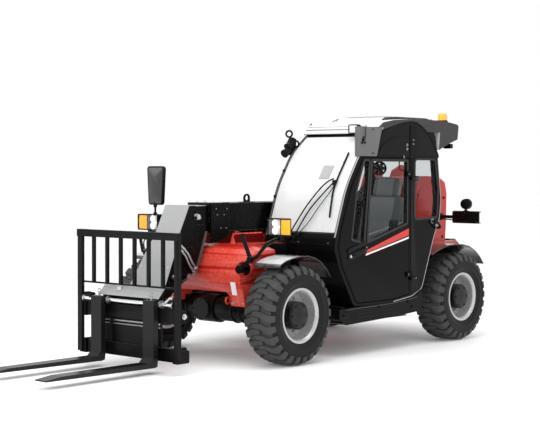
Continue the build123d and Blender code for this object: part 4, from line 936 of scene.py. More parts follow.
# ------------------------------------------------------------------ carriage, guard, forks
spots = []
for s_ in (1, -1):
    ax_ = YP if s_ > 0 else YN
    spots += [(1.010, s_ * 0.530, 0.481, ax_), (1.010, s_ * 0.530, 0.166, ax_), (0.950, s_ * 0.530, 0.440, ax_)]
bolts("carriage_side_pins", spots, "bright_steel", "fork_carriage", r=0.015, h=0.014)
bolts("guard_bolts", [(1.0455, s_ * yy, zz, XP) for s_ in (1, -1) for yy in (0.548,) for zz in (0.130, 0.165, 0.425, 0.470)],
      "bright_steel", "fork_carriage", r=0.009, h=0.008)
bm = bmesh.new()
for s_ in (1, -1):
    # lower hooks at the carriage's corners
    add_prism(bm, rounded([(0.925, 0.088), (1.058, 0.088), (1.058, 0.150), (1.030, 0.186), (0.925, 0.186)], 0.012), *sorted((s_ * 0.531, s_ * 0.561)))
    # upper lock brackets
    add_prism(bm, rounded([(1.000, 0.500), (1.052, 0.500), (1.066, 0.552), (1.046, 0.580), (1.010, 0.572)], 0.010), *sorted((s_ * 0.420, s_ * 0.440)))
    for yy in (0.20,):
        add_prism(bm, [(1.0300, 0.205), (1.0415, 0.205), (1.0415, 0.385), (1.0300, 0.385)], *sorted((s_ * (yy - 0.012), s_ * (yy + 0.012))))
finish_mesh("carriage_hooks", bm, "black_satin", "fork_carriage", 0.002)
bm = bmesh.new()
for s_ in (1, -1):
    # fork lock levers, springs and stops
    add_cyl(bm, P(1.075, s_ * 0.300, 0.558), P(1.075, s_ * 0.300, 0.592), 0.010, 18)
    add_torus(bm, P(1.075, s_ * 0.300, 0.603), YP, 0.014, 0.0035, 24, 8)
    add_cyl(bm, P(1.046, s_ * 0.372, 0.530), P(1.046, s_ * 0.384, 0.530), 0.030, 28)
    add_cyl(bm, P(1.046, s_ * 0.216, 0.530), P(1.046, s_ * 0.228, 0.530), 0.030, 28)
finish_mesh("fork_locks", bm, "zinc", "fork_carriage", 0.001)
bm = bmesh.new()
for s_ in (1, -1):
    # weld fillets along the guard's bars and wear marks at the blade heels
    box(bm, 1.0630, 1.0645, s_ * 0.300 - 0.060, s_ * 0.300 + 0.060, 0.1, 0.11)
for k in range(6):
    y = -0.555 + (k + 1) * 1.110 / 7
    add_cyl(bm, P(1.0435, y - 0.014, 1.0222), P(1.0435, y + 0.014, 1.0222), 0.004, 8)
    add_cyl(bm, P(1.0485, y - 0.014, 0.6675), P(1.0485, y + 0.014, 0.6675), 0.004, 8)
finish_mesh("guard_welds", bm, "black_satin", "fork_carriage", 0.0)
bm = bmesh.new()
add_cyl(bm, P(1.046, -0.512, 0.530), P(1.046, -0.505, 0.530), 0.026, 28)
add_cyl(bm, P(1.046, 0.505, 0.530), P(1.046, 0.512, 0.530), 0.026, 28)
add_prism(bm, rounded([(0.992, 0.606), (1.010, 0.606), (1.010, 0.640), (0.992, 0.640)], 0.004), -0.16, -0.12)
finish_mesh("fork_bar_ends", bm, "bright_steel", "fork_carriage", 0.001)
bm = bmesh.new()
add_cyl(bm, P(1.020, -0.330, 0.372), P(1.020, 0.330, 0.372), 0.0085, 20)
add_cyl(bm, P(1.016, -0.330, 0.345), P(1.016, 0.330, 0.345), 0.006, 16)
finish_mesh("carriage_lock_rods", bm, "zinc", "fork_carriage", 0.0)
bm = bmesh.new()
add_prism(bm, [(0.9715, 0.6435), (0.9730, 0.6440), (1.0405, 0.5675), (1.0390, 0.5670)], -0.344, 0.339)
finish_mesh("carriage_cover_skin", bm, "grey_paint", "fork_carriage", 0.0)
# latch with a handle at the carriage's left end
bm = bmesh.new()
add_cyl(bm, P(1.060, 0.430, 0.545), P(1.060, 0.485, 0.585), 0.008, 14)
add_cyl(bm, P(1.060, 0.485, 0.585), P(1.060, 0.520, 0.585), 0.011, 14)
finish_mesh("carriage_latch", bm, "bright_steel", "fork_carriage", 0.001)

# ------------------------------------------------------------------ cab
def rounded_line(pts, radii, n=8):
    """Outline with its own radius at each corner; a radius too big for its edges is shortened."""
    out = []
    k = len(pts)
    for i in range(k):
        one = rounded([pts[i - 1], pts[i], pts[(i + 1) % k]], radii[i] / 1.0, n)
        out += one[(n + 1):2 * (n + 1)]
    return out


CAB = [(-0.480, 1.000, 0.03), (-0.630, 1.420, 0.9), (-0.820, 1.710, 0.6), (-1.070, 1.900, 0.06), (-1.900, 1.900, 0.06),
       (-1.950, 1.650, 0.3), (-2.000, 1.300, 0.3), (-1.980, 1.130, 0.2), (-1.890, 0.960, 0.1), (-1.710, 0.510, 0.08),
       (-1.560, 0.450, 0.06), (-1.290, 0.420, 0.06), (-0.730, 0.420, 0.06), (-0.535, 0.740, 0.06), (-0.470, 0.900, 0.06)]
CAB_OUT = rounded_line([(x, z) for x, z, r in CAB], [r for x, z, r in CAB], 8)
DOOR = rounded_line([(-1.529, .480), (-1.290, .446), (-.765, .446), (-.566, .770), (-.520, .930), (-.560, 1.080), (-.690, 1.420),
                     (-.848, 1.664), (-1.529, 1.664)], [.02, .06, .06, .06, .06, .06, .25, .04, .02], 6)
WIN_A = rounded([(-.704, .985), (-.862, .948), (-.903, 1.300), (-.935, 1.640), (-.870, 1.640), (-.772, 1.400)], .008)
WIN_B = rounded([(-.920, .955), (-1.480, 1.100), (-1.480, 1.640), (-.973, 1.640)], .008)
QUARTER = rounded([(-1.600, 1.133), (-1.935, 1.143), (-1.952, 1.391), (-1.900, 1.655), (-1.600, 1.655)], .03, 6)
CY1 = 0.845


def face_x(z, shift=0.0):
    """x of the cab's front outline at height z."""
    best = None
    k = len(CAB_OUT)
    for i in range(k):
        (x0, z0), (x1, z1) = CAB_OUT[i], CAB_OUT[(i + 1) % k]
        if (z0 - z) * (z1 - z) <= 0 and abs(z1 - z0) > 1e-9:
            x = x0 + (x1 - x0) * (z - z0) / (z1 - z0)
            best = x if best is None else max(best, x)
    return best + shift


def front_strip(bm, y0, y1, z0, z1, proud, deep, n=26):
    """Strip that follows the front of the cab between two heights."""
    rows = []
    for i in range(n + 1):
        z = z0 + (z1 - z0) * i / n
        x = face_x(z)
        x2 = face_x(min(z + 0.004, 1.899)); x1_ = face_x(z - 0.004)
        t = Vector((x2 - x1_, 0.008)).normalized(); nx, nz = t.y, -t.x
        rows.append([bm.verts.new(P(x + nx * d, y, z + nz * d)) for y, d in ((y0, proud), (y1, proud), (y1, -deep), (y0, -deep))])
    for a, b in zip(rows, rows[1:]):
        for k in range(4):
            bm.faces.new((a[k], a[(k + 1) % 4], b[(k + 1) % 4], b[k]))
    bm.faces.new(rows[0]); bm.faces.new(list(reversed(rows[-1])))


def on_screen(y, z, off):
    x = face_x(z)
    t = Vector((face_x(z + 0.004) - face_x(z - 0.004), 0.008)).normalized()
    return (x + t.y * off, y, z - t.x * off)


# screen: black border printed on the glass, pale pillar strips, seal
bm = bmesh.new()
front_strip(bm, 0.8315, 0.8445, 1.005, 1.862, 0.0012, 0.004)
front_strip(bm, 0.0725, 0.0855, 1.005, 1.862, 0.0012, 0.004)
finish_mesh("screen_pillar_strips", bm, "grey_paint", "machine", 0.0, angle=40)
bm = bmesh.new()
front_strip(bm, 0.824, 0.8312, 1.000, 1.868, 0.0005, 0.010)
front_strip(bm, 0.0858, 0.093, 1.000, 1.868, 0.0005, 0.010)
x0_ = face_x(1.040)
front_strip(bm, 0.086, 0.831, 1.0295, 1.043, 0.003, 0.008, 4)
finish_mesh("screen_seal", bm, "seal", "machine", 0.0, angle=40)
# cowl panel below the screen with its bolts and louvre
bm = bmesh.new()
front_strip(bm, 0.090, 0.826, 0.935, 0.996, 0.006, 0.004, 10)
finish_mesh("cowl_panel", bm, "black_satin", "machine", 0.001, angle=40)
bolts("cowl_bolts", [(face_x(.955) + .006, yy, .955, XP) for yy in (.459, .778)], "zinc", r=0.0065, h=0.004, washer=False)
# the slots are dark strips: painted shade of the openings
bm = bmesh.new()
for yy in (0.20, 0.36):
    for k in range(4):
        front_strip(bm, yy, yy + 0.11, 0.948 + k * 0.010, 0.9525 + k * 0.010, 0.009, 0.0, 1)
finish_mesh("cowl_slots", bm, "mesh_dark", "machine", 0.0)

# wiper: two arms from the cowl and a long blade
def tube_on(name, pts, off, r, mat):
    q = [on_screen(y, z, off) for y, z in pts]
    return pipe(name, [P(*p) for p in q], r, mat, "machine", 8)


tube_on("wiper_arm_a", [(.366, .999), (.431, 1.142), (.509, 1.285), (.635, 1.457), (.702, 1.470)], 0.034, 0.0062, "black_satin")
tube_on("wiper_arm_b", [(.428, 1.001), (.489, 1.155), (.570, 1.286), (.716, 1.452)], 0.030, 0.0062, "black_satin")
tube_on("wiper_blade_back", [(.719, 1.700), (.721, 1.534), (.716, 1.428), (.720, 1.335), (.745, 1.162)], 0.016, 0.0055, "black_satin")
tube_on("wiper_blade_rubber", [(.719, 1.700), (.721, 1.534), (.716, 1.428), (.720, 1.335), (.745, 1.162)], 0.005, 0.0030, "seal")
tube_on("wiper_washer_hose", [(.445, 1.010), (.525, 1.086), (.612, 1.252), (.705, 1.381), (.716, 1.425)], 0.020, 0.0042, "hose")
bm = bmesh.new()
for yy, zz in ((.366, .985), (.428, .985)):
    c = P(*on_screen(yy, zz, 0.004))
    add_cyl(bm, c, c + Vector((0.034, 0, 0.010)), 0.019, 24)
    add_cyl(bm, c + Vector((0.034, 0, 0.010)), c + Vector((0.044, 0, 0.013)), 0.012, 6)
c = P(*on_screen(.716, 1.455, 0.020)); add_cyl(bm, c - Vector((0, .026, 0)), c + Vector((0, .012, 0)), 0.013, 20)
c = P(*on_screen(.716, 1.430, 0.016)); add_cyl(bm, c, c + Vector((0.020, 0, 0.008)), 0.012, 20)
for zz in (1.62, 1.53, 1.335, 1.25):
    yy = .719 if zz > 1.5 else .72 + max(0, 1.335 - zz) * .14
    c = P(*on_screen(yy, zz, 0.004)); d = (P(*on_screen(yy, zz, 0.02)) - c)
    add_cyl(bm, c, c + d, 0.006, 10)
finish_mesh("wiper_joints", bm, "black_plastic", "machine", 0.001)
# a clear pane inside, the sun blind, seen through the screen
bm = bmesh.new()
add_prism(bm, rect(0.44, 0.60, 1.560, 1.700, 0.01), -1.02, -1.014, "x")
finish_mesh("inner_sun_blind", bm, "clear_glass", "machine", 0.0)
# seal and clips down the screen's right-hand edge
bm = bmesh.new()
front_strip(bm, .0725, .0825, .960, 1.880, .0050, .001, 40)
front_strip(bm, .0905, .0955, .975, 1.872, .0030, .001, 40)
finish_mesh("screen_edge_seal", bm, "seal", "machine", 0.0, angle=50)
bm = bmesh.new()
for z in (1.090, 1.330, 1.552, 1.760):
    x = face_x(z)
    box(bm, x - .020, x + .0065, .0680, .0860, z - .014, z + .014)
    add_cyl(bm, P(x + .004, .077, z), P(x + .0105, .077, z), .0075, 20)
finish_mesh("screen_clips", bm, "black_satin", "machine", 0.0015)
# blank pale notice on the screen
bm = bmesh.new(); front_strip(bm, .505, .612, 1.488, 1.598, .0022, .0006, 8)
finish_mesh("screen_note", bm, "screen_note", "machine", 0.0)

# horn, rings and bracket on the right-hand screen pillar
bm = bmesh.new()
for (x, z), big in (((-.860, 1.876), 0.034), ((-.949, 1.790), 0.034)):
    add_torus(bm, P(x + 0.060, 0.064, z), (1, .5, 0), big * 0.8, 0.0085, 40, 10)
finish_mesh("pillar_rings", bm, "black_satin", "machine", 0.0)
bm = bmesh.new()
add_prism(bm, rounded([(-.835, 1.690), (-.760, 1.690), (-.740, 1.770), (-.800, 1.850), (-.850, 1.830)], 0.012), 0.030, 0.072)
add_cyl(bm, P(-.775, .052, 1.735), P(-.705, .052, 1.700), 0.030, 28, 0.038)
add_cyl(bm, P(-.820, .052, 1.795), P(-.740, .052, 1.760), 0.026, 28, 0.032)
for v in bm.verts:
    v.co.x -= 0.042
finish_mesh("pillar_horn", bm, "black_satin", "machine", 0.002)

# door: stripe, seals, handle, hinge caps
def plate_on(name, pts, t0, t1, mat, body, bevel=0.0):
    bm = bmesh.new()
    add_prism(bm, pts, t0, t1)
    return finish_mesh(name, bm, mat, body, bevel)


plate_on("door_stripe_red", [(-.900, .857), (-.904, .884), (-1.525, 1.056), (-1.525, .994)], CY1, CY1 + .0009, "stripe_red", "door")
plate_on("door_stripe_white", [(-.890, .838), (-.894, .852), (-1.507, .978), (-1.507, .962)], CY1, CY1 + .0009, "white_label", "door")
bm = bmesh.new()
for w in (WIN_A, WIN_B):
    add_ring(bm, inset(w, -0.016), inset(w, 0.005), CY1 - 0.003, CY1 + 0.0022)
finish_mesh("door_window_seals", bm, "seal", "door", 0.0008)
bm = bmesh.new()
add_ring(bm, inset(DOOR, 0.004), inset(DOOR, 0.020), CY1 - .0005, CY1 + 0.0020)
finish_mesh("door_edge_fold", bm, "cab_black", "door", 0.0008)
bm = bmesh.new()
add_ring(bm, inset(DOOR, -0.013), inset(DOOR, 0.014), .796, .8005)
finish_mesh("doorway_seal", bm, "seal", "machine", 0.0)
bm = bmesh.new()
add_ring(bm, inset(DOOR, -0.0015), inset(DOOR, 0.0025), CY1 - .038, CY1 - 0.030)
finish_mesh("door_rubber", bm, "seal", "door", 0.0)
bm = bmesh.new()
add_prism(bm, rounded([(-.640, .820), (-.700, .812), (-.900, .868), (-.905, .905), (-.860, .925), (-.655, .872)], 0.012), CY1, CY1 + 0.007)
add_prism(bm, rounded([(-.628, .880), (-.648, .902), (-.868, .960), (-.900, .952), (-.895, .936), (-.650, .872)], 0.008), CY1, CY1 + 0.012)
finish_mesh("door_handle_base", bm, "black_plastic", "door", 0.002)
pipe("door_handle_lever", [P(-.680, CY1 + .006, .848), P(-.690, CY1 + .030, .852), P(-.740, CY1 + .034, .866), P(-.840, CY1 + .034, .893),
                           P(-.872, CY1 + .024, .902), P(-.878, CY1 + .005, .904)], 0.0095, "black_satin", "door")
bm = bmesh.new()
add_lathe(bm, [(0.0, 0.0135), (0.011, 0.0135), (0.0125, 0.012), (0.0125, 0.0)], P(-.672, CY1 + .006, .842), "y", 24)
add_cyl(bm, P(-.885, CY1 + .006, .905), P(-.885, CY1 + .014, .905), 0.009, 16)
finish_mesh("door_lock", bm, "bright_steel", "door", 0.0)
bm = bmesh.new()
for z0, z1 in ((0.600, 0.6255), (1.480, 1.5055)):
    add_cyl(bm, P(-1.537, .857, z0 - .003), P(-1.537, .857, z0), 0.013, 20)
for zz in (.640, 1.520):
    add_prism(bm, rounded([(-1.640, zz - .052), (-1.549, zz - .052), (-1.549, zz - .010), (-1.640, zz - .010)], 0.008), CY1, CY1 + 0.004)
finish_mesh("hinge_leaves", bm, "black_satin", "machine", 0.001)
bolts("hinge_bolts", [(x, CY1 + .004, z, YP) for z in (.609, 1.489) for x in (-1.570, -1.610)], "zinc", r=0.007, h=0.006, washer=False)
bolts("hinge_leaf_bolts", [(x, HY, z, YP) for HY in (CY1 + .016,) for z in (.648, 1.528) for x in (-1.482,)], "zinc", "door", r=0.006, h=0.004, washer=False)

# fixed side: quarter window seal, pillar bolts, latch loop, grab handles, pale edge strip painted as a highlight
bm = bmesh.new()
add_ring(bm, inset(QUARTER, -0.015), inset(QUARTER, 0.005), CY1 - 0.003, CY1 + 0.0022)
finish_mesh("quarter_seal", bm, "seal", "machine", 0.0008)
bolts("pillar_bolts", [(-1.457, CY1 + .0125, 1.781, YP), (-1.457, CY1 + .0125, 1.746, YP), (-1.546, CY1 + .0125, 1.826, YP), (-1.546, CY1 + .0125, 1.790, YP)],
      "zinc", r=0.009, h=0.007)
pipe("latch_loop", [P(-1.413, CY1 + .010, 1.690), P(-1.400, CY1 + .022, 1.686), P(-1.398, CY1 + .024, 1.664)], 0.0045, "zinc", "machine")
pipe("door_latch_loop", [P(-1.472, CY1 - .030, 1.655), P(-1.405, CY1 - .030, 1.652), P(-1.400, CY1 - .030, 1.600), P(-1.404, CY1 - .030, 1.560),
                         P(-1.472, CY1 - .030, 1.556)], 0.0055, "black_satin", "door")
pipe("rear_grab_handle", [P(-1.862, CY1, 1.106), P(-1.862, CY1 + .036, 1.104), P(-1.885, CY1 + .042, 1.100), P(-1.930, CY1 + .042, 1.060),
                          P(-1.938, CY1 + .036, 1.046), P(-1.938, CY1, 1.044)], 0.011, "black_plastic", "machine")
bm = bmesh.new()
add_cyl(bm, P(-1.862, CY1, 1.106), P(-1.862, CY1 + .006, 1.106), 0.022, 24)
add_cyl(bm, P(-1.930, CY1, 1.060), P(-1.930, CY1 + .006, 1.060), 0.020, 24)
finish_mesh("grab_handle_feet", bm, "zinc", "machine", 0.001)
# arch creases
ARCH = rounded([(-1.020, 1.672), (-1.090, 1.900), (-1.270, 1.946), (-1.400, 1.975), (-1.533, 1.990), (-1.620, 1.980), (-1.700, 1.950),
                (-1.790, 1.890), (-1.873, 1.800), (-1.935, 1.712), (-1.948, 1.672)], 0.01, 3)
AY = CY1 + 0.012
bm = bmesh.new()
add_ring(bm, inset(ARCH, 0.003), inset(ARCH, 0.016), AY - .001, AY + 0.004)
crease = [(-1.060, 1.730), (-1.105, 1.784), (-1.225, 1.840), (-1.363, 1.862), (-1.500, 1.868), (-1.500, 1.860), (-1.363, 1.852), (-1.225, 1.829),
          (-1.112, 1.774), (-1.068, 1.722)]
add_prism(bm, crease, AY - .001, AY + 0.005)
add_prism(bm, rounded([(-1.500, 1.674), (-1.590, 1.674), (-1.590, 1.958), (-1.500, 1.952)], 0.01), AY - .001, AY + .006)
add_prism(bm, [(-1.028, 1.674), (-1.495, 1.674), (-1.495, 1.684), (-1.031, 1.684)], AY - .001, AY + .005)
finish_mesh("arch_folds", bm, "cab_black", "machine", 0.0012)
# pale strip round the back and the foot of the cab side: a painted highlight along the panel's edge
lo_i = inset(CAB_OUT, 0.0065)
bm = bmesh.new()
idx = [i for i, p in enumerate(CAB_OUT) if p[0] < -1.25 and p[1] < 1.66]
for a, b in zip(idx, idx[1:]):
    if b - a == 1:
        q = [CAB_OUT[a], CAB_OUT[b], lo_i[b], lo_i[a]]
        add_prism(bm, q, CY1 - .001, CY1 + .0022)
bmesh.ops.remove_doubles(bm, verts=bm.verts, dist=1e-5)
finish_mesh("cab_edge_highlight_strip", bm, "grey_paint", "machine", 0.0, angle=40)

# roof: dark joints along the front edge
bm = bmesh.new()
ROOF_FRONT = [(-1.010, 1.868), (-1.040, 1.925), (-1.110, 1.970), (-1.260, 1.994)]
def roof_bar(z, h, proud=.0022):
    for (xa, za), (xb_, zb) in zip(ROOF_FRONT, ROOF_FRONT[1:]):
        if za <= z <= zb:
            x = xa + (xb_ - xa) * (z - za) / (zb - za)
            add_prism(bm, [(x - .004, z - h), (x + proud, z - h), (x + proud * .6, z + h), (x - .006, z + h)], .064, .720)
roof_bar(1.9125, .0026); roof_bar(1.938, .0018)
add_prism(bm, [(-1.006, 1.868), (-1.012, 1.868), (-1.110, 1.972), (-1.104, 1.976)], .0585, .0665)
add_prism(bm, [(-1.243, 1.990), (-1.333, 2.020), (-1.336, 2.024), (-1.246, 1.995)], .1895, .1965)
finish_mesh("roof_front_joints", bm, "seal", "machine", 0.0)
# ribs on top
bm = bmesh.new()
for k in range(5):
    y = 0.25 + k * 0.10
    add_prism(bm, rounded([(-1.36, y - .018), (-1.36, y + .018), (-1.93, y + .018), (-1.93, y - .018)], 0.014), 2.0335, 2.0385, "z")
finish_mesh("roof_ribs", bm, "roof_top", "machine", 0.002)
bolts("roof_bolts", [(x, y, 2.0095, ZP) for x in (-1.56, -1.90) for y in (0.10, 0.80)], "black_plastic", r=0.010, h=0.006)
bolts("roof_rear_bolts", [(-2.2555, y, 1.935, XN) for y in (0.14, 0.30, 0.46, 0.62, 0.78)], "black_plastic", r=0.008, h=0.004)
# pod: bolts, aerial and clip
podn = (1.0, 0.55, 0.0)
def pod_face(y, z, off=0.002):
    """Point on the pod's slanted front face."""
    t = (y - .8465) / (.868 - .8465)
    x = -.790 + (-.994 + .790) * t
    return Vector((x + AX, y, z)) + Vector((.0215, .204, 0)).normalized() * off
bm = bmesh.new()
nrm = Vector((.0215, .204, 0)).normalized()
for y, z, r in ((.8515, 1.815, .014), (.8500, 1.790, .010), (.8535, 1.792, .009), (.8520, 1.838, .007), (.864, 1.705, .005), (.864, 1.905, .005)):
    c = pod_face(y, z, -.002)
    add_cyl(bm, c, c + nrm * .010, r, 20); add_cyl(bm, c + nrm * .010, c + nrm * .016, r * .6, 6)
finish_mesh("pod_fixings", bm, "black_satin", "machine", 0.0008)
a0 = pod_face(.8535, 1.845, .012)
pipe("pod_aerial", [pod_face(.8530, 1.820, .010), a0, a0 + Vector((0, 0, .05)), a0 + Vector((-.004, 0, .095))], 0.003, "black_satin", "machine")

# ------------------------------------------------------------------ seat, with padded cushions
def cushion(name, centre, u_dir, v_dir, w_dir, a, b, h, crown, seams, mats, n=7.0, cuts=26):
    """Stuffed block: half sizes a by b, thickness h, crowned top, stitched seams at the given (axis, place)."""
    bm = bmesh.new()
    bmesh.ops.create_cube(bm, size=2.0)
    bmesh.ops.subdivide_edges(bm, edges=bm.edges, cuts=cuts, use_grid_fill=True)
    for f in bm.faces:
        c = f.calc_center_median()
        f.material_index = 1 if (c.z > .9 and abs(c.x) < seams[0][1] and len(mats) > 1) else 0
    for v in bm.verts:
        u, w_, t = v.co
        k = (abs(u) ** n + abs(w_) ** n + abs(t) ** n) ** (1 / n)
        x, y, z = u / k * a, w_ / k * b, t / k * h / 2
        if t > 0:
            z += crown * (1 - (u / k) ** 4) * (1 - (w_ / k) ** 4) * (0.75 + 0.25 * t)
            for ax_, place in seams:
                for sgn in (1, -1):
                    d = ((x - sgn * place * a) if ax_ == "u" else (y - place * b))
                    z -= 0.0075 * math.exp(-(d / 0.0065) ** 2) / (1 if ax_ == "u" else 2)
            z += 0.0014 * sin(37 * x + 3) * cos(29 * y)
        z -= 0.004 * (1 - t * t) * 0
        v.co = centre + u_dir * x + v_dir * y + w_dir * z
    o = finish_mesh(name, bm, mats, "machine", 0.0, angle=60)
    # piping round the top edge
    loop = []
    for i in range(40):
        ang = 2 * pi * i / 40
        cu, sv = cos(ang), sin(ang)
        k = (abs(cu) ** n + abs(sv) ** n) ** (1 / n)
        loop.append(centre + u_dir * (cu / k * a * 1.002) + v_dir * (sv / k * b * 1.002) + w_dir * (h * 0.30))
    pipe(name + "_piping", loop, 0.0042, "thread", "machine", 4, True)
    return o


cushion("seat_base", P(-1.365, .455, .660), Vector((0, 1, 0)), Vector((1, 0, .05)).normalized(), Vector((-.05, 0, 1)).normalized(),
        .235, .250, .120, .022, [("u", .60), ("v", .15)], ["seat_fabric", "seat_cloth"])
back_up = Vector((-.24, 0, .97)).normalized(); back_out = Vector((.97, 0, .24)).normalized()
cushion("seat_back", P(-1.635, .455, 1.030), Vector((0, 1, 0)), back_up, back_out, .225, .300, .120, .018,
        [("u", .60), ("v", .20), ("v", -.45)], ["seat_fabric", "seat_cloth"])
cushion("seat_head", P(-1.720, .455, 1.400), Vector((0, 1, 0)), back_up, back_out, .135, .085, .080, .010,
        [("u", .70)], ["seat_fabric", "seat_cloth"], cuts=18)
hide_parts("seat")
bm = bmesh.new()
for yy in (.400, .510):
    c = P(-1.708, yy, 1.300)
    add_cyl(bm, c, c + back_up * .07, 0.008, 14)
finish_mesh("headrest_posts", bm, "bright_steel", "machine", 0.0)
bm = bmesh.new()
box(bm, -1.56, -1.16, .245, .665, .572, .602)
add_prism(bm, rounded([(-1.595, .600), (-1.565, .600), (-1.700, 1.300), (-1.735, 1.310), (-1.735, 1.150)], .01), .260, .650)
box(bm, -1.52, -1.15, .262, .290, .440, .470); box(bm, -1.52, -1.15, .620, .648, .440, .470)
finish_mesh("seat_pan", bm, "black_plastic", "machine", 0.006)
# bellows under the seat
bm = bmesh.new()
prev = None
for i in range(13):
    z = .468 + i * .0090
    g = 0.012 if i % 2 else 0.0
    ln = rounded([(-1.500 + g, .285 + g), (-1.200 - g, .285 + g), (-1.200 - g, .625 - g), (-1.500 + g, .625 - g)], .04, 4)
    ring = [bm.verts.new((x + AX, y, z)) for x, y in ln]
    if prev:
        for k in range(len(ring)):
            bm.faces.new((prev[k], prev[(k + 1) % len(ring)], ring[(k + 1) % len(ring)], ring[k]))
    prev = ring
finish_mesh("seat_bellows", bm, "seal", "machine", 0.0, angle=20)
# arm rest with joystick on the right, arm rest on the left
for yy, tag in ((.205, "right"), (.705, "left")):
    cushion("arm_rest_" + tag, P(-1.450, yy, .905), Vector((0, 1, 0)), Vector((1, 0, .06)).normalized(), Vector((-.06, 0, 1)).normalized(),
            .036, .150, .046, .006, [("u", .80)], ["seat_fabric"], cuts=12)
    bm = bmesh.new()
    add_prism(bm, rounded([(-1.625, .820), (-1.585, .820), (-1.500, .872), (-1.500, .892), (-1.620, .880)], .008), yy - .014, yy + .014)
    finish_mesh("arm_rest_bracket_" + tag, bm, "black_plastic", "machine", 0.003)
bm = bmesh.new()
add_lathe(bm, [(.925, .0), (.925, .028), (.932, .030), (.938, .024), (.944, .026), (.950, .019), (.956, .020), (.962, .013), (.985, .009),
               (1.000, .014), (1.020, .021), (1.050, .022), (1.070, .018), (1.078, .010), (1.080, 0)], P(-1.275, .205, 0), "z", 28)
finish_mesh("joystick", bm, "black_plastic", "machine", 0.0, angle=50)
bm = bmesh.new()
add_cyl(bm, P(-1.262, .205, 1.066), P(-1.252, .205, 1.070), .005, 14)
add_cyl(bm, P(-1.275, .198, 1.079), P(-1.275, .198, 1.083), .004, 12)
finish_mesh("joystick_buttons", bm, "stripe_red", "machine", 0.0)
bm = bmesh.new()
box(bm, -1.62, -1.16, .112, .240, .560, .880)
finish_mesh("side_console", bm, "black_plastic", "machine", 0.014, segments=3)
bm = bmesh.new()
for k in range(4):
    for j in range(2):
        box(bm, -1.30 - k * .06, -1.265 - k * .06, .125 + j * .045, .155 + j * .045, .8795, .888)
finish_mesh("console_switches", bm, "seat_fabric", "machine", 0.002)
# belt: reel and buckle at the seat's sides
bm = bmesh.new()
box(bm, -1.580, -1.520, .196, .214, .680, .760)
box(bm, -1.575, -1.545, .694, .706, .680, .745)
finish_mesh("belt_reel", bm, "black_plastic", "machine", 0.004)
bm = bmesh.new()
box(bm, -1.572, -1.548, .692, .708, .742, .775)
finish_mesh("belt_buckle", bm, "stripe_red", "machine", 0.003)

# steering wheel, column, dash details
WC = P(-.825, .455, 1.038); WN = Vector((-.82, 0, .57)).normalized()
wu = Vector((0, 1, 0)); wv = WN.cross(wu)
bm = bmesh.new()
add_torus(bm, WC, WN, .160, .0135, 72, 12)
for k in range(3):
    ang = radians(90 + 120 * k)
    d = wu * cos(ang) + wv * sin(ang)
    s = d.cross(WN)
    q0, q1 = WC + d * .035 - WN * .012, WC + d * .156
    vs = [bm.verts.new(q + s * w_ * sg + WN * hh) for q, w_ in ((q0, .020), (q1, .011)) for sg, hh in ((1, .004), (-1, .004), (-1, -.004), (1, -.004))]
    for i in range(4):
        bm.faces.new((vs[i], vs[(i + 1) % 4], vs[4 + (i + 1) % 4], vs[4 + i]))
add_cyl(bm, WC - WN * .030, WC + WN * .006, .046, 36, .040)
add_cyl(bm, WC + WN * .006, WC + WN * .012, .030, 28, .026)
add_cyl(bm, WC + wv * .160, WC + wv * .160 + WN * .055, .008, 14)
add_cyl(bm, WC + wv * .160 + WN * .030, WC + wv * .160 + WN * .075, .020, 20, .017)
finish_mesh("steering_wheel_rim", bm, "black_plastic", "machine", 0.0, angle=45)
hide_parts("steering_wheel")
bm = bmesh.new()
add_cyl(bm, P(-.690, .455, .943), WC - WN * .028, .036, 28, .026)
for k in range(6):
    t = .010 + k * .013
    c = P(-.690, .455, .943); d = (WC - c).normalized()
    add_cyl(bm, c + d * t, c + d * (t + .007), .043 - k * .001, 28)
finish_mesh("steering_column", bm, "black_plastic", "machine", 0.0015)
bm = bmesh.new()
c0 = WC - WN * .075
add_cyl(bm, c0, c0 + Vector((-.02, .150, .02)), .006, 12); add_cyl(bm, c0 + Vector((-.016, .115, .016)), c0 + Vector((-.021, .158, .021)), .010, 14)
add_cyl(bm, c0, c0 + Vector((-.02, -.150, .02)), .006, 12); add_cyl(bm, c0 + Vector((-.016, -.115, .016)), c0 + Vector((-.021, -.158, .021)), .010, 14)
finish_mesh("column_levers", bm, "black_satin", "machine", 0.0)
bm = bmesh.new()
slopen = Vector((-.85, 0, .20)).normalized()
add_prism(bm, rect(.560, .740, .905, .985, .010), -.742, -.712, "x")
finish_mesh("display_housing", bm, "black_plastic", "machine", 0.003)
bm = bmesh.new(); add_prism(bm, rect(.572, .728, .915, .975, .004), -.7438, -.7418, "x")
finish_mesh("display_glass", bm, "screen_on", "machine", 0.0)
bm = bmesh.new()
for k in range(6):
    add_prism(bm, rect(.150 + k * .036, .178 + k * .036, .905, .945, .003), -.728, -.716, "x")
for yy in (.200, .700):
    add_lathe(bm, [(-.738, .0), (-.738, .026), (-.742, .034), (-.728, .038), (-.715, .038)], P(0, yy, .860), "x", 28)
finish_mesh("dash_switches", bm, "seat_fabric", "machine", 0.0015)
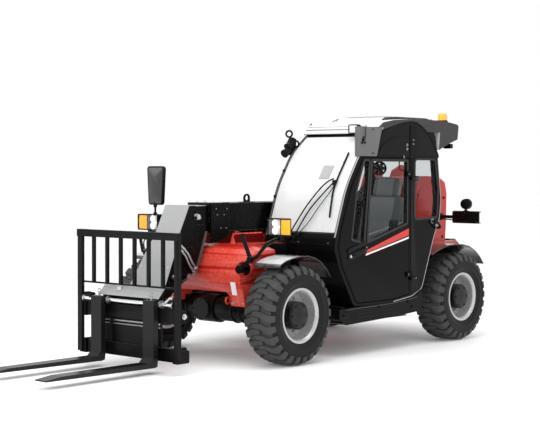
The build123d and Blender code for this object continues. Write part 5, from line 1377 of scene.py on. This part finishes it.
# pedals and floor mat
bm = bmesh.new()
for yy, w_ in ((.300, .060), (.420, .060), (.560, .085)):
    add_prism(bm, rounded([(-.705, .500), (-.690, .492), (-.640, .590), (-.655, .600)], .004), yy - w_ / 2, yy + w_ / 2)
    add_cyl(bm, P(-.660, yy, .575), P(-.610, yy, .640), .008, 12)
    for k in range(5):
        f_ = k / 5
        add_cyl(bm, P(-.704 + .050 * f_, yy - w_ / 2 + .004, .508 + .092 * f_), P(-.704 + .050 * f_, yy + w_ / 2 - .004, .508 + .092 * f_), .0035, 8)
finish_mesh("pedals", bm, "seal", "machine", 0.001)
bm = bmesh.new()
box(bm, -1.15, -.76, .125, .795, .4605, .4660)
for k in range(12):
    add_prism(bm, rect(-1.13, -.78, .150 + k * .052, .160 + k * .052, .004), .4655, .4690, "z")
finish_mesh("floor_mat", bm, "seal", "machine", 0.001)
# interior grab rail, latch and headliner
pipe("inner_grab_rail", [P(-.944, .800, .999), P(-1.050, .790, 1.020), P(-1.250, .790, 1.055), P(-1.467, .800, 1.100)], 0.010, "seat_fabric", "door")
bm = bmesh.new()
add_prism(bm, rounded([(-1.27, 1.020), (-1.40, 1.050), (-1.40, 1.130), (-1.30, 1.130)], .015), .790, .8065)
finish_mesh("inner_latch", bm, "black_satin", "door", 0.002)
bm = bmesh.new()
box(bm, -1.84, -1.14, .125, .740, 1.800, 1.812)
for yy in (.25, .43, .61):
    add_lathe(bm, [(1.790, .0), (1.790, .034), (1.798, .042), (1.804, .042)], P(-1.30, yy, 0), "z", 24)
finish_mesh("headliner", bm, "seat_fabric", "machine", 0.003)
# small fan hung at the back of the cab
bm = bmesh.new()
c = P(-1.850, .262, 1.580); n = Vector((.75, .66, 0)).normalized()
add_torus(bm, c, n, .058, .009, 44, 10)
add_torus(bm, c + n * .006, n, .036, .003, 36, 8)
add_cyl(bm, c - n * .022, c + n * .010, .020, 28, .016)
side_v = n.cross(Vector((0, 0, 1)))
for k in range(6):
    d = side_v * cos(pi * k / 3) + Vector((0, 0, 1)) * sin(pi * k / 3)
    add_cyl(bm, c + d * .014, c + d * .054, .012, 12, .019)
add_cyl(bm, c + Vector((0, 0, .060)), c + Vector((0, 0, .232)), .009, 16)
finish_mesh("cab_fan", bm, "black_plastic", "machine", 0.0)
# rear speaker/heater body behind the seat
bm = bmesh.new()
box(bm, -1.90, -1.78, .140, .775, .70, 1.08)
finish_mesh("rear_shelf", bm, "black_plastic", "machine", 0.02, segments=3)

# ------------------------------------------------------------------ side step treads, chassis details
bm = bmesh.new()
for k in range(3):
    z = .318 + k * .030
    add_prism(bm, [(-.760, z), (-1.340, z + .010), (-1.340, z + .015), (-.760, z + .005)], .8445, .8475)
finish_mesh("step_ribs", bm, "black_plastic", "machine", 0.0008)
bolts("step_bolts", [(-.600, .8455, .352, YP), (-.640, .8455, .386, YP), (-1.560, .8455, .360, YP), (-1.500, .8455, .408, YP), (-1.080, .8455, .392, YP)],
      "black_satin", r=0.009, h=0.006)
# closing plate and tray inside the step, and the trim line over it
bm = bmesh.new()
box(bm, -.590, -.580, .380, .842, .290, .425)
box(bm, -1.500, -.580, .380, .842, .286, .292)
for k in range(6):
    add_cyl(bm, P(-.5795, .440 + k * .070, .312), P(-.574, .440 + k * .070, .312), .008, 6)
finish_mesh("step_closing_plate", bm, "black_satin", "machine", 0.0015)
pipe("step_trim_line", [P(-.615, .8478, .392), P(-.730, .8478, .400), P(-1.000, .8478, .401), P(-1.383, .8478, .412), P(-1.640, .8478, .440)],
     .0028, "dull_zinc", "machine", 4)

# nose: tie rings, label, bolts
plate_x = bmesh.new()
add_prism(plate_x, rect(.358, .412, .548, .655, .006), .2330, .2345, "x")
for v in plate_x.verts:
    v.co.x += (v.co.z - .545) * .26
finish_mesh("nose_blank_label", plate_x, "white_label", "machine", 0.0)
bolts("nose_bolts", [(.214, s_ * .400, .500, XP) for s_ in (1, -1)] + [(.2125, s_ * .345, .480, XP) for s_ in (1, -1)] +
      [(.2125, s_ * .455, .480, XP) for s_ in (1, -1)], "bright_steel", r=0.012, h=0.009)
bm = bmesh.new()
for s_ in (1, -1):
    add_torus(bm, P(.225, s_ * .300, .500), (0, 1, 0), .026, .008, 32, 10)
finish_mesh("nose_tie_rings", bm, "red_paint", "machine", 0.0)

# axle casings: covers, ribs, cylinders, hoses, drive shaft
for ax_name, ax_x in (("front", 0.0), ("rear", -2.3)):
    bm = bmesh.new()
    for s_ in (1, -1):
        for r_, a_, b_ in ((.110, .205, .218), (.108, .300, .312), (.114, .400, .414)):
            add_cyl(bm, P(ax_x, s_ * a_, .4), P(ax_x, s_ * b_, .4), r_, 40)
        for k in range(10):
            an = 2 * pi * k / 10
            c = P(ax_x + .132 * cos(an) * .86, s_ * .4405, .4 + .132 * sin(an) * .86)
            add_cyl(bm, c - Vector((0, s_ * .001, 0)), c - Vector((0, -s_ * -.012, 0)), .008, 6)
        add_cyl(bm, P(ax_x, s_ * .600, .550), P(ax_x, s_ * .600, .562), .036, 30)
        add_cyl(bm, P(ax_x, s_ * .600, .238), P(ax_x, s_ * .600, .250), .036, 30)
        add_cyl(bm, P(ax_x, s_ * .600, .562), P(ax_x, s_ * .600, .570), .012, 6)
    # differential carrier, its ribs and bolts
    fx = 1 if ax_name == "front" else -1
    add_cyl(bm, P(ax_x + fx * .050, BY, .4), P(ax_x + fx * .138, BY, .4), .105, 44, .092)
    add_cyl(bm, P(ax_x - fx * .100, BY, .4), P(ax_x - fx * .200, BY, .4), .070, 36, .050)
    add_cyl(bm, P(ax_x - fx * .200, BY, .4), P(ax_x - fx * .215, BY, .4), .066, 36)
    for k in range(8):
        an = 2 * pi * k / 8
        c = P(ax_x + fx * .125, BY + .085 * cos(an), .4 + .085 * sin(an))
        add_cyl(bm, c, c + Vector((fx * .020, 0, 0)), .008, 6)
    finish_mesh(ax_name + "_axle_castings", bm, "cast_iron", "machine", 0.002)
    bm = bmesh.new()
    for s_ in (1, -1):
        add_cyl(bm, P(ax_x - .165, s_ * .240, .410), P(ax_x - .165, s_ * .330, .410), .014, 20)
    finish_mesh(ax_name + "_steer_rods", bm, "chrome", "machine", 0.0)
    hose(ax_name + "_steer_hose", [(ax_x - .165, .150, .442), (ax_x - .165, .150, .480), (ax_x - .230, .120, .500), (ax_x - .300, .080, .480)], .008)
for c_, (x_, s_) in CORNERS.items():
    bm = bmesh.new()
    for k in range(8):
        an = 2 * pi * (k + .5) / 8
        q = P(x_ + .103 * cos(an), s_ * .732, .4 + .103 * sin(an))
        add_cyl(bm, q - Vector((0, s_ * .040, 0)), q - Vector((0, s_ * .030, 0)), .008, 6)
    add_cyl(bm, P(x_ - .110, s_ * .600, .424), P(x_ - .110, s_ * .600, .440), .014, 6)
    add_cyl(bm, P(x_, s_ * .634, .4), P(x_, s_ * .648, .4), .098, 40)
    finish_mesh("knuckle_bolts_" + c_, bm, "zinc", "steer_" + c_, 0.001)
# drive shaft along the middle
bm = bmesh.new()
add_cyl(bm, P(-.215, BY, .4), P(-2.085, BY, .4), .026, 28)
for x_ in (-.235, -.560, -1.780, -2.065):
    add_cyl(bm, P(x_ - .020, BY, .4), P(x_ + .020, BY, .4), .040, 24)
    add_cyl(bm, P(x_, BY - .045, .4), P(x_, BY + .045, .4), .014, 16)
    add_cyl(bm, P(x_, BY, .355), P(x_, BY, .445), .014, 16)
finish_mesh("drive_shaft", bm, "cast_iron", "machine", 0.001)

# ------------------------------------------------------------------ engine side
HY = -0.850
bm = bmesh.new()
for k in range(9):
    z = .650 + k * .036
    add_prism(bm, [(HY + .001, z), (HY - .010, z + .004), (HY - .010, z + .010), (HY + .001, z + .026)], -1.62, -1.12, "x")
finish_mesh("hood_louvres", bm, "red_paint", "hood", 0.0012)
bm = bmesh.new()
for k in range(9):
    z = .650 + k * .036
    box(bm, -1.615, -1.125, HY - .0025, HY + .001, z - .009, z - .001)
finish_mesh("hood_louvre_shadow", bm, "mesh_dark", "hood", 0.0)
bm = bmesh.new()
add_ring(bm, rect(-1.035, -.655, .650, .975, .03), rect(-1.015, -.675, .670, .955, .02), HY - .006, HY + .001)
finish_mesh("hood_grille_frame", bm, "black_satin", "hood", 0.0012)
bm = bmesh.new()
for k in range(22):
    x = -1.005 + k * .0155
    box(bm, x, x + .004, HY - .0035, HY, .672, .953)
for k in range(18):
    z = .680 + k * .0155
    box(bm, -1.014, -.676, HY - .0045, HY - .001, z, z + .004)
finish_mesh("hood_grille", bm, "black_satin", "hood", 0.0)
bm = bmesh.new(); box(bm, -1.014, -.676, HY - .0012, HY + .002, .672, .953)
finish_mesh("hood_grille_back", bm, "mesh_dark", "hood", 0.0)
bm = bmesh.new()
for x in (-1.45, -.85):
    add_prism(bm, rect(x - .035, x + .035, .580, .626, .010), HY - .006, HY + .001)
    add_cyl(bm, P(x, HY - .012, .603), P(x, HY - .006, .603), .014, 24)
finish_mesh("hood_latches", bm, "zinc", "hood", 0.0015)
pipe("hood_handle", [P(-1.25, HY + .001, .600), P(-1.25, HY - .030, .604), P(-1.23, HY - .036, .604), P(-1.07, HY - .036, .604), P(-1.05, HY - .030, .604),
                     P(-1.05, HY + .001, .600)], .009, "black_satin", "hood")
bm = bmesh.new()
for x in (-1.55, -1.30, -1.05, -.80):
    add_prism(bm, rounded([(x - .09, -.66), (x + .09, -.66), (x + .09, -.46), (x - .09, -.46)], .02), 1.1495, 1.1535, "z")
finish_mesh("hood_top_pads", bm, "black_plastic", "hood", 0.0015)
# the slots are dark strips: painted shade of the openings
bm = bmesh.new()
for k in range(4):
    for j in range(7):
        x = -1.62 + k * .25 + .012
        add_prism(bm, rect(x, x + .155, -.645 + j * .026, -.632 + j * .026, .004), 1.1532, 1.1548, "z")
finish_mesh("hood_top_slots", bm, "mesh_dark", "hood", 0.0)
bm = bmesh.new()
add_cyl(bm, P(-1.49, -.275, 1.162), P(-.81, -.275, 1.162), .007, 14)
finish_mesh("hood_hinge_rod", bm, "zinc", "machine", 0.0)
# engine: covers, pulleys, filters, pipes
bm = bmesh.new()
for k in range(4):
    x = -1.56 + k * .17
    add_prism(bm, rounded([(x, -.70), (x + .13, -.70), (x + .13, -.42), (x, -.42)], .02), 1.039, 1.075, "z")
box(bm, -1.60, -.95, -.775, -.76, .62, .66); box(bm, -1.60, -.95, -.775, -.76, .80, .82)
for k in range(6):
    box(bm, -1.58 + k * .12, -1.565 + k * .12, -.782, -.765, .46, 1.02)
finish_mesh("engine_ribs", bm, "engine_grey", "machine", 0.004)
bm = bmesh.new()
add_lathe(bm, [(-.900, .0), (-.900, .105), (-.892, .110), (-.886, .100), (-.880, .100), (-.874, .110), (-.866, .105), (-.866, .0)], P(0, -.56, .62), "x", 48)
add_lathe(bm, [(-.900, .0), (-.900, .060), (-.892, .064), (-.883, .056), (-.874, .064), (-.866, .060), (-.866, .0)], P(0, -.44, .86), "x", 40)
add_lathe(bm, [(-.900, .0), (-.900, .045), (-.892, .049), (-.883, .042), (-.874, .049), (-.866, .045), (-.866, .0)], P(0, -.68, .88), "x", 36)
finish_mesh("engine_pulleys", bm, "zinc", "machine", 0.0, angle=25)
bm = bmesh.new()
for y, z in ((-.60, .72), (-.72, .72)):
    add_lathe(bm, [(-.155 + 0, 0.0), (-.155, .040), (-.150, .045), (-.020, .045), (-.015, .050), (.0, .050), (.0, 0)], P(-1.30 if y > -.7 else -1.14, -.772, .60), "z", 32)
finish_mesh("oil_filters", bm, "white_label", "machine", 0.0)
hose("coolant_hose_top", [(-.90, -.50, 1.00), (-.84, -.50, 1.00), (-.78, -.52, .98), (-.70, -.54, .98)], .022)
hose("coolant_hose_low", [(-.90, -.62, .50), (-.82, -.62, .49), (-.70, -.62, .52)], .022)
bm = bmesh.new()
box(bm, -.700, -.620, -.790, -.360, .445, 1.060)
finish_mesh("radiator", bm, "black_satin", "machine", 0.006)
bm = bmesh.new()
for k in range(34):
    z = .470 + k * .017
    box(bm, -.7035, -.700, -.765, -.385, z, z + .006)
    box(bm, -.620, -.6165, -.765, -.385, z, z + .006)
finish_mesh("radiator_fins", bm, "zinc", "machine", 0.0)
# exhaust: clamp, heat shield and rain cut
bm = bmesh.new()
add_cyl(bm, P(-1.800, -.420, 1.140), P(-1.800, -.420, 1.165), .0345, 32)
add_lathe(bm, [(1.190, .0285), (1.190, .033), (1.290, .033), (1.290, .0285)], P(-1.800, -.420, 0), "z", 32)
box(bm, -1.812, -1.788, -.458, -.450, 1.146, 1.158)
finish_mesh("exhaust_shield", bm, "zinc", "machine", 0.001)
# the holes are small dark discs: painted shade of the openings
bm = bmesh.new()
for k in range(6):
    for j in range(10):
        an = 2 * pi * j / 10
        c = P(-1.800 + .0332 * cos(an), -.420 + .0332 * sin(an), 1.202 + k * .015)
        add_cyl(bm, c, c + Vector((cos(an), sin(an), 0)) * .0010, .004, 8)
finish_mesh("exhaust_holes", bm, "mesh_dark", "machine", 0.0)

# ------------------------------------------------------------------ rear: tank caps, covers, hitch, lamp cables
bm = bmesh.new()
add_lathe(bm, [(.0, .0), (.0, .046), (.010, .050), (.034, .050), (.040, .044), (.040, .0)], P(-2.350, .250, 1.506), "z", 40)
add_lathe(bm, [(.0, .0), (.0, .036), (.008, .040), (.026, .040), (.032, .034), (.032, .0)], P(-2.300, -.430, 1.168), "z", 36)
finish_mesh("filler_caps", bm, "black_plastic", "machine", 0.0, angle=25)
bm = bmesh.new()
for k in range(18):
    an = 2 * pi * k / 18
    for cx, cy, cz, r_ in ((-2.350, .250, 1.524, .0500), (-2.300, -.430, 1.182, .0400)):
        c = P(cx + r_ * cos(an), cy + r_ * sin(an), cz)
        add_cyl(bm, c - Vector((0, 0, .008)), c + Vector((0, 0, .010)), .0035, 8)
finish_mesh("filler_cap_grips", bm, "black_plastic", "machine", 0.0)
bolts("cover_bolts", [(x, .4505, z, YP) for x, z in ((-2.600, .930), (-2.620, 1.300), (-2.180, .930), (-2.200, 1.330), (-2.420, 1.455), (-2.400, .900))],
      "black_satin", r=.010, h=.006)
bolts("tank_bolts", [(x, -.5605, z, YN) for x, z in ((-2.650, .930), (-2.660, 1.080), (-1.900, .930), (-1.930, 1.130), (-2.300, 1.140))],
      "bright_steel", r=.010, h=.006)
plate_on("cover_fold", rounded([(-2.60, .92), (-2.61, 1.28), (-2.56, 1.40), (-2.32, 1.44), (-2.20, 1.36), (-2.18, 1.22), (-2.18, .92)], .04, 6), .4495, .4525,
         "red_paint", "machine", .0012)
bm = bmesh.new()
add_cyl(bm, P(-2.64, -.5605, 1.00), P(-2.64, -.5645, 1.00), .030, 36)
box(bm, -2.68, -2.67, -.565, -.5595, .93, 1.07)
finish_mesh("tank_gauge", bm, "reflector", "machine", 0.001)
bolts("counterweight_bolts", [(-2.8505, y, z, XN) for y in (-.36, .36) for z in (.52, .82)], "bright_steel", r=.018, h=.014)
bm = bmesh.new()
add_cyl(bm, P(-2.810, 0, .610), P(-2.810, 0, .6015), .028, 32)
add_cyl(bm, P(-2.810, 0, .640), P(-2.810, 0, .455), .0163, 28)
add_torus(bm, P(-2.810, 0, .655), (0, 1, 0), .020, .006, 32, 10)
finish_mesh("hitch_pin", bm, "zinc", "machine", 0.0)
for s_, tag, y_in in ((1, "left", .440), (-1, "right", -.540)):
    hose("tail_cable_" + tag, [(-2.560, s_ * .700, 1.090), (-2.545, s_ * .640, 1.078), (-2.560, s_ * .600, 1.098), (-2.556, y_in + s_ * .02, 1.100)], .0055, ends=False)
    bm = bmesh.new()
    c = P(-2.570, y_in + s_ * .012, 1.122)
    add_cyl(bm, c, c + Vector((0, s_ * .008, 0)), .034, 32)
    for k in range(4):
        an = radians(45 + 90 * k)
        q = c + Vector((.025 * cos(an), s_ * .008, .025 * sin(an)))
        add_cyl(bm, q, q + Vector((0, s_ * .005, 0)), .005, 6)
    add_cyl(bm, P(-2.570, s_ * (.4525 if s_ > 0 else .5625), 1.122), P(-2.570, s_ * .6005, 1.122), .0158, 28)
    finish_mesh("tail_arm_flange_" + tag, bm, "black_satin", "machine", 0.0008)
# frame plates: bolts, weld lines, hose run to the boom
spots = []
for s_, y in ((1, .0605), (-1, -.2855)):
    a_ = YP if s_ > 0 else YN
    for x, z in ((-2.50, 1.47), (-2.32, 1.47), (-2.46, 1.29), (-2.34, 1.29), (-2.30, .60), (-2.12, .60), (-2.12, .70), (-2.28, .70)):
        spots.append((x, y, z, a_))
bolts("frame_bolts", spots, "bright_steel", r=.012, h=.010)
bm = bmesh.new()
for s_, y in ((1, .0605), (-1, -.2855)):
    for r_ in (.078,):
        add_torus(bm, P(-2.400, y + s_ * .008, 1.400), (0, 1, 0), r_, .004, 48, 8)
finish_mesh("pivot_welds", bm, "red_paint", "machine", 0.0)
for k, y in enumerate((-.255, -.235, .015, .035)):
    hose("frame_hose_%d" % k, [(-2.10, y, .640 + .02 * k), (-1.80, y, .560 + .02 * k), (-1.20, y, .520 + .02 * k), (-.70, y, .560 + .02 * k)], .009)
# mirror-side and cab steps
bm = bmesh.new()
for x in (-.62, -1.46):
    box(bm, x - .05, x + .05, .420, .846, .330, .340)
finish_mesh("step_brackets", bm, "black_satin", "machine", 0.002)
# red plate behind the collar, painted darker red as the shade the boom casts on it
bm = bmesh.new()
for y0_, y1_ in ((.0602, .0622), (-.2872, -.2852)):
    add_prism(bm, rounded([(-.470, .940), (-.120, .940), (-.085, 1.018), (-.470, 1.018)], .02), y0_, y1_)
finish_mesh("nose_side_folds", bm, "dark_red", "machine", 0.001)

# ------------------------------------------------------------------ floor, light, camera
def area(name, pos, target, size, power, color=(1, 1, 1)):
    l = bpy.data.lights.new(name, "AREA"); l.shape = "RECTANGLE"; l.size, l.size_y = size
    l.energy = power; l.color = color
    o = link(bpy.data.objects.new(name, l))
    o.location = pos
    o.rotation_euler = (Vector(target) - Vector(pos)).to_track_quat("-Z", "Y").to_euler()
    return o


bm = bmesh.new()
grid_box(bm, -60, 60, -60, 60, -0.02, -0.0005)
me = bpy.data.meshes.new("floor"); bm.to_mesh(me); bm.free()
floor = link(bpy.data.objects.new("floor", me))
floor_mat, nt, b = nodes_of("floor")
n = noise(nt, 0.6, 3)
r = ramp(nt, n.outputs["Fac"], [(0.3, 0.93), (0.7, 0.95)])
nt.links.new(r.outputs["Color"], b.inputs["Base Color"])
b.inputs["Roughness"].default_value = 0.55
b.inputs["Emission Color"].default_value = (1, 1, 1, 1)
b.inputs["Emission Strength"].default_value = 0.06
me.materials.append(floor_mat)

world = bpy.data.worlds.new("world"); bpy.context.scene.world = world
world.use_nodes = True
world.node_tree.nodes["Background"].inputs["Color"].default_value = (1, 1, 1, 1)
world.node_tree.nodes["Background"].inputs["Strength"].default_value = 1.0
area("top", (0.5, 1.0, 6.5), (0, 0, 0.5), (7, 6), 250)
area("key", (7.5, 1.0, 4.0), (0.5, 0, 0.8), (4, 3), 190)
area("side", (0.0, 8.0, 3.2), (-0.5, 0, 0.8), (6, 2.5), 60)

cam_data = bpy.data.cameras.new("camera")
cam_data.sensor_width = 36.0
cam_data.lens = 1352.5 * 36.0 / 540.0
cam = link(bpy.data.objects.new("camera", cam_data))
yaw, pitch, roll = radians(-138.39), radians(-1.63), radians(0.17)
f = Vector((cos(yaw) * cos(pitch), sin(yaw) * cos(pitch), sin(pitch)))
rgt = f.cross(Vector((0, 0, 1))).normalized()
up = rgt.cross(f)
rgt2 = rgt * cos(roll) + up * sin(roll)
up2 = up * cos(roll) - rgt * sin(roll)
cam.matrix_world = Matrix.Translation((8.179 + AX, 7.817, 1.542)) @ Matrix((rgt2, up2, -f)).transposed().to_4x4()
bpy.context.scene.camera = cam
bpy.context.scene.view_settings.view_transform = "Standard"
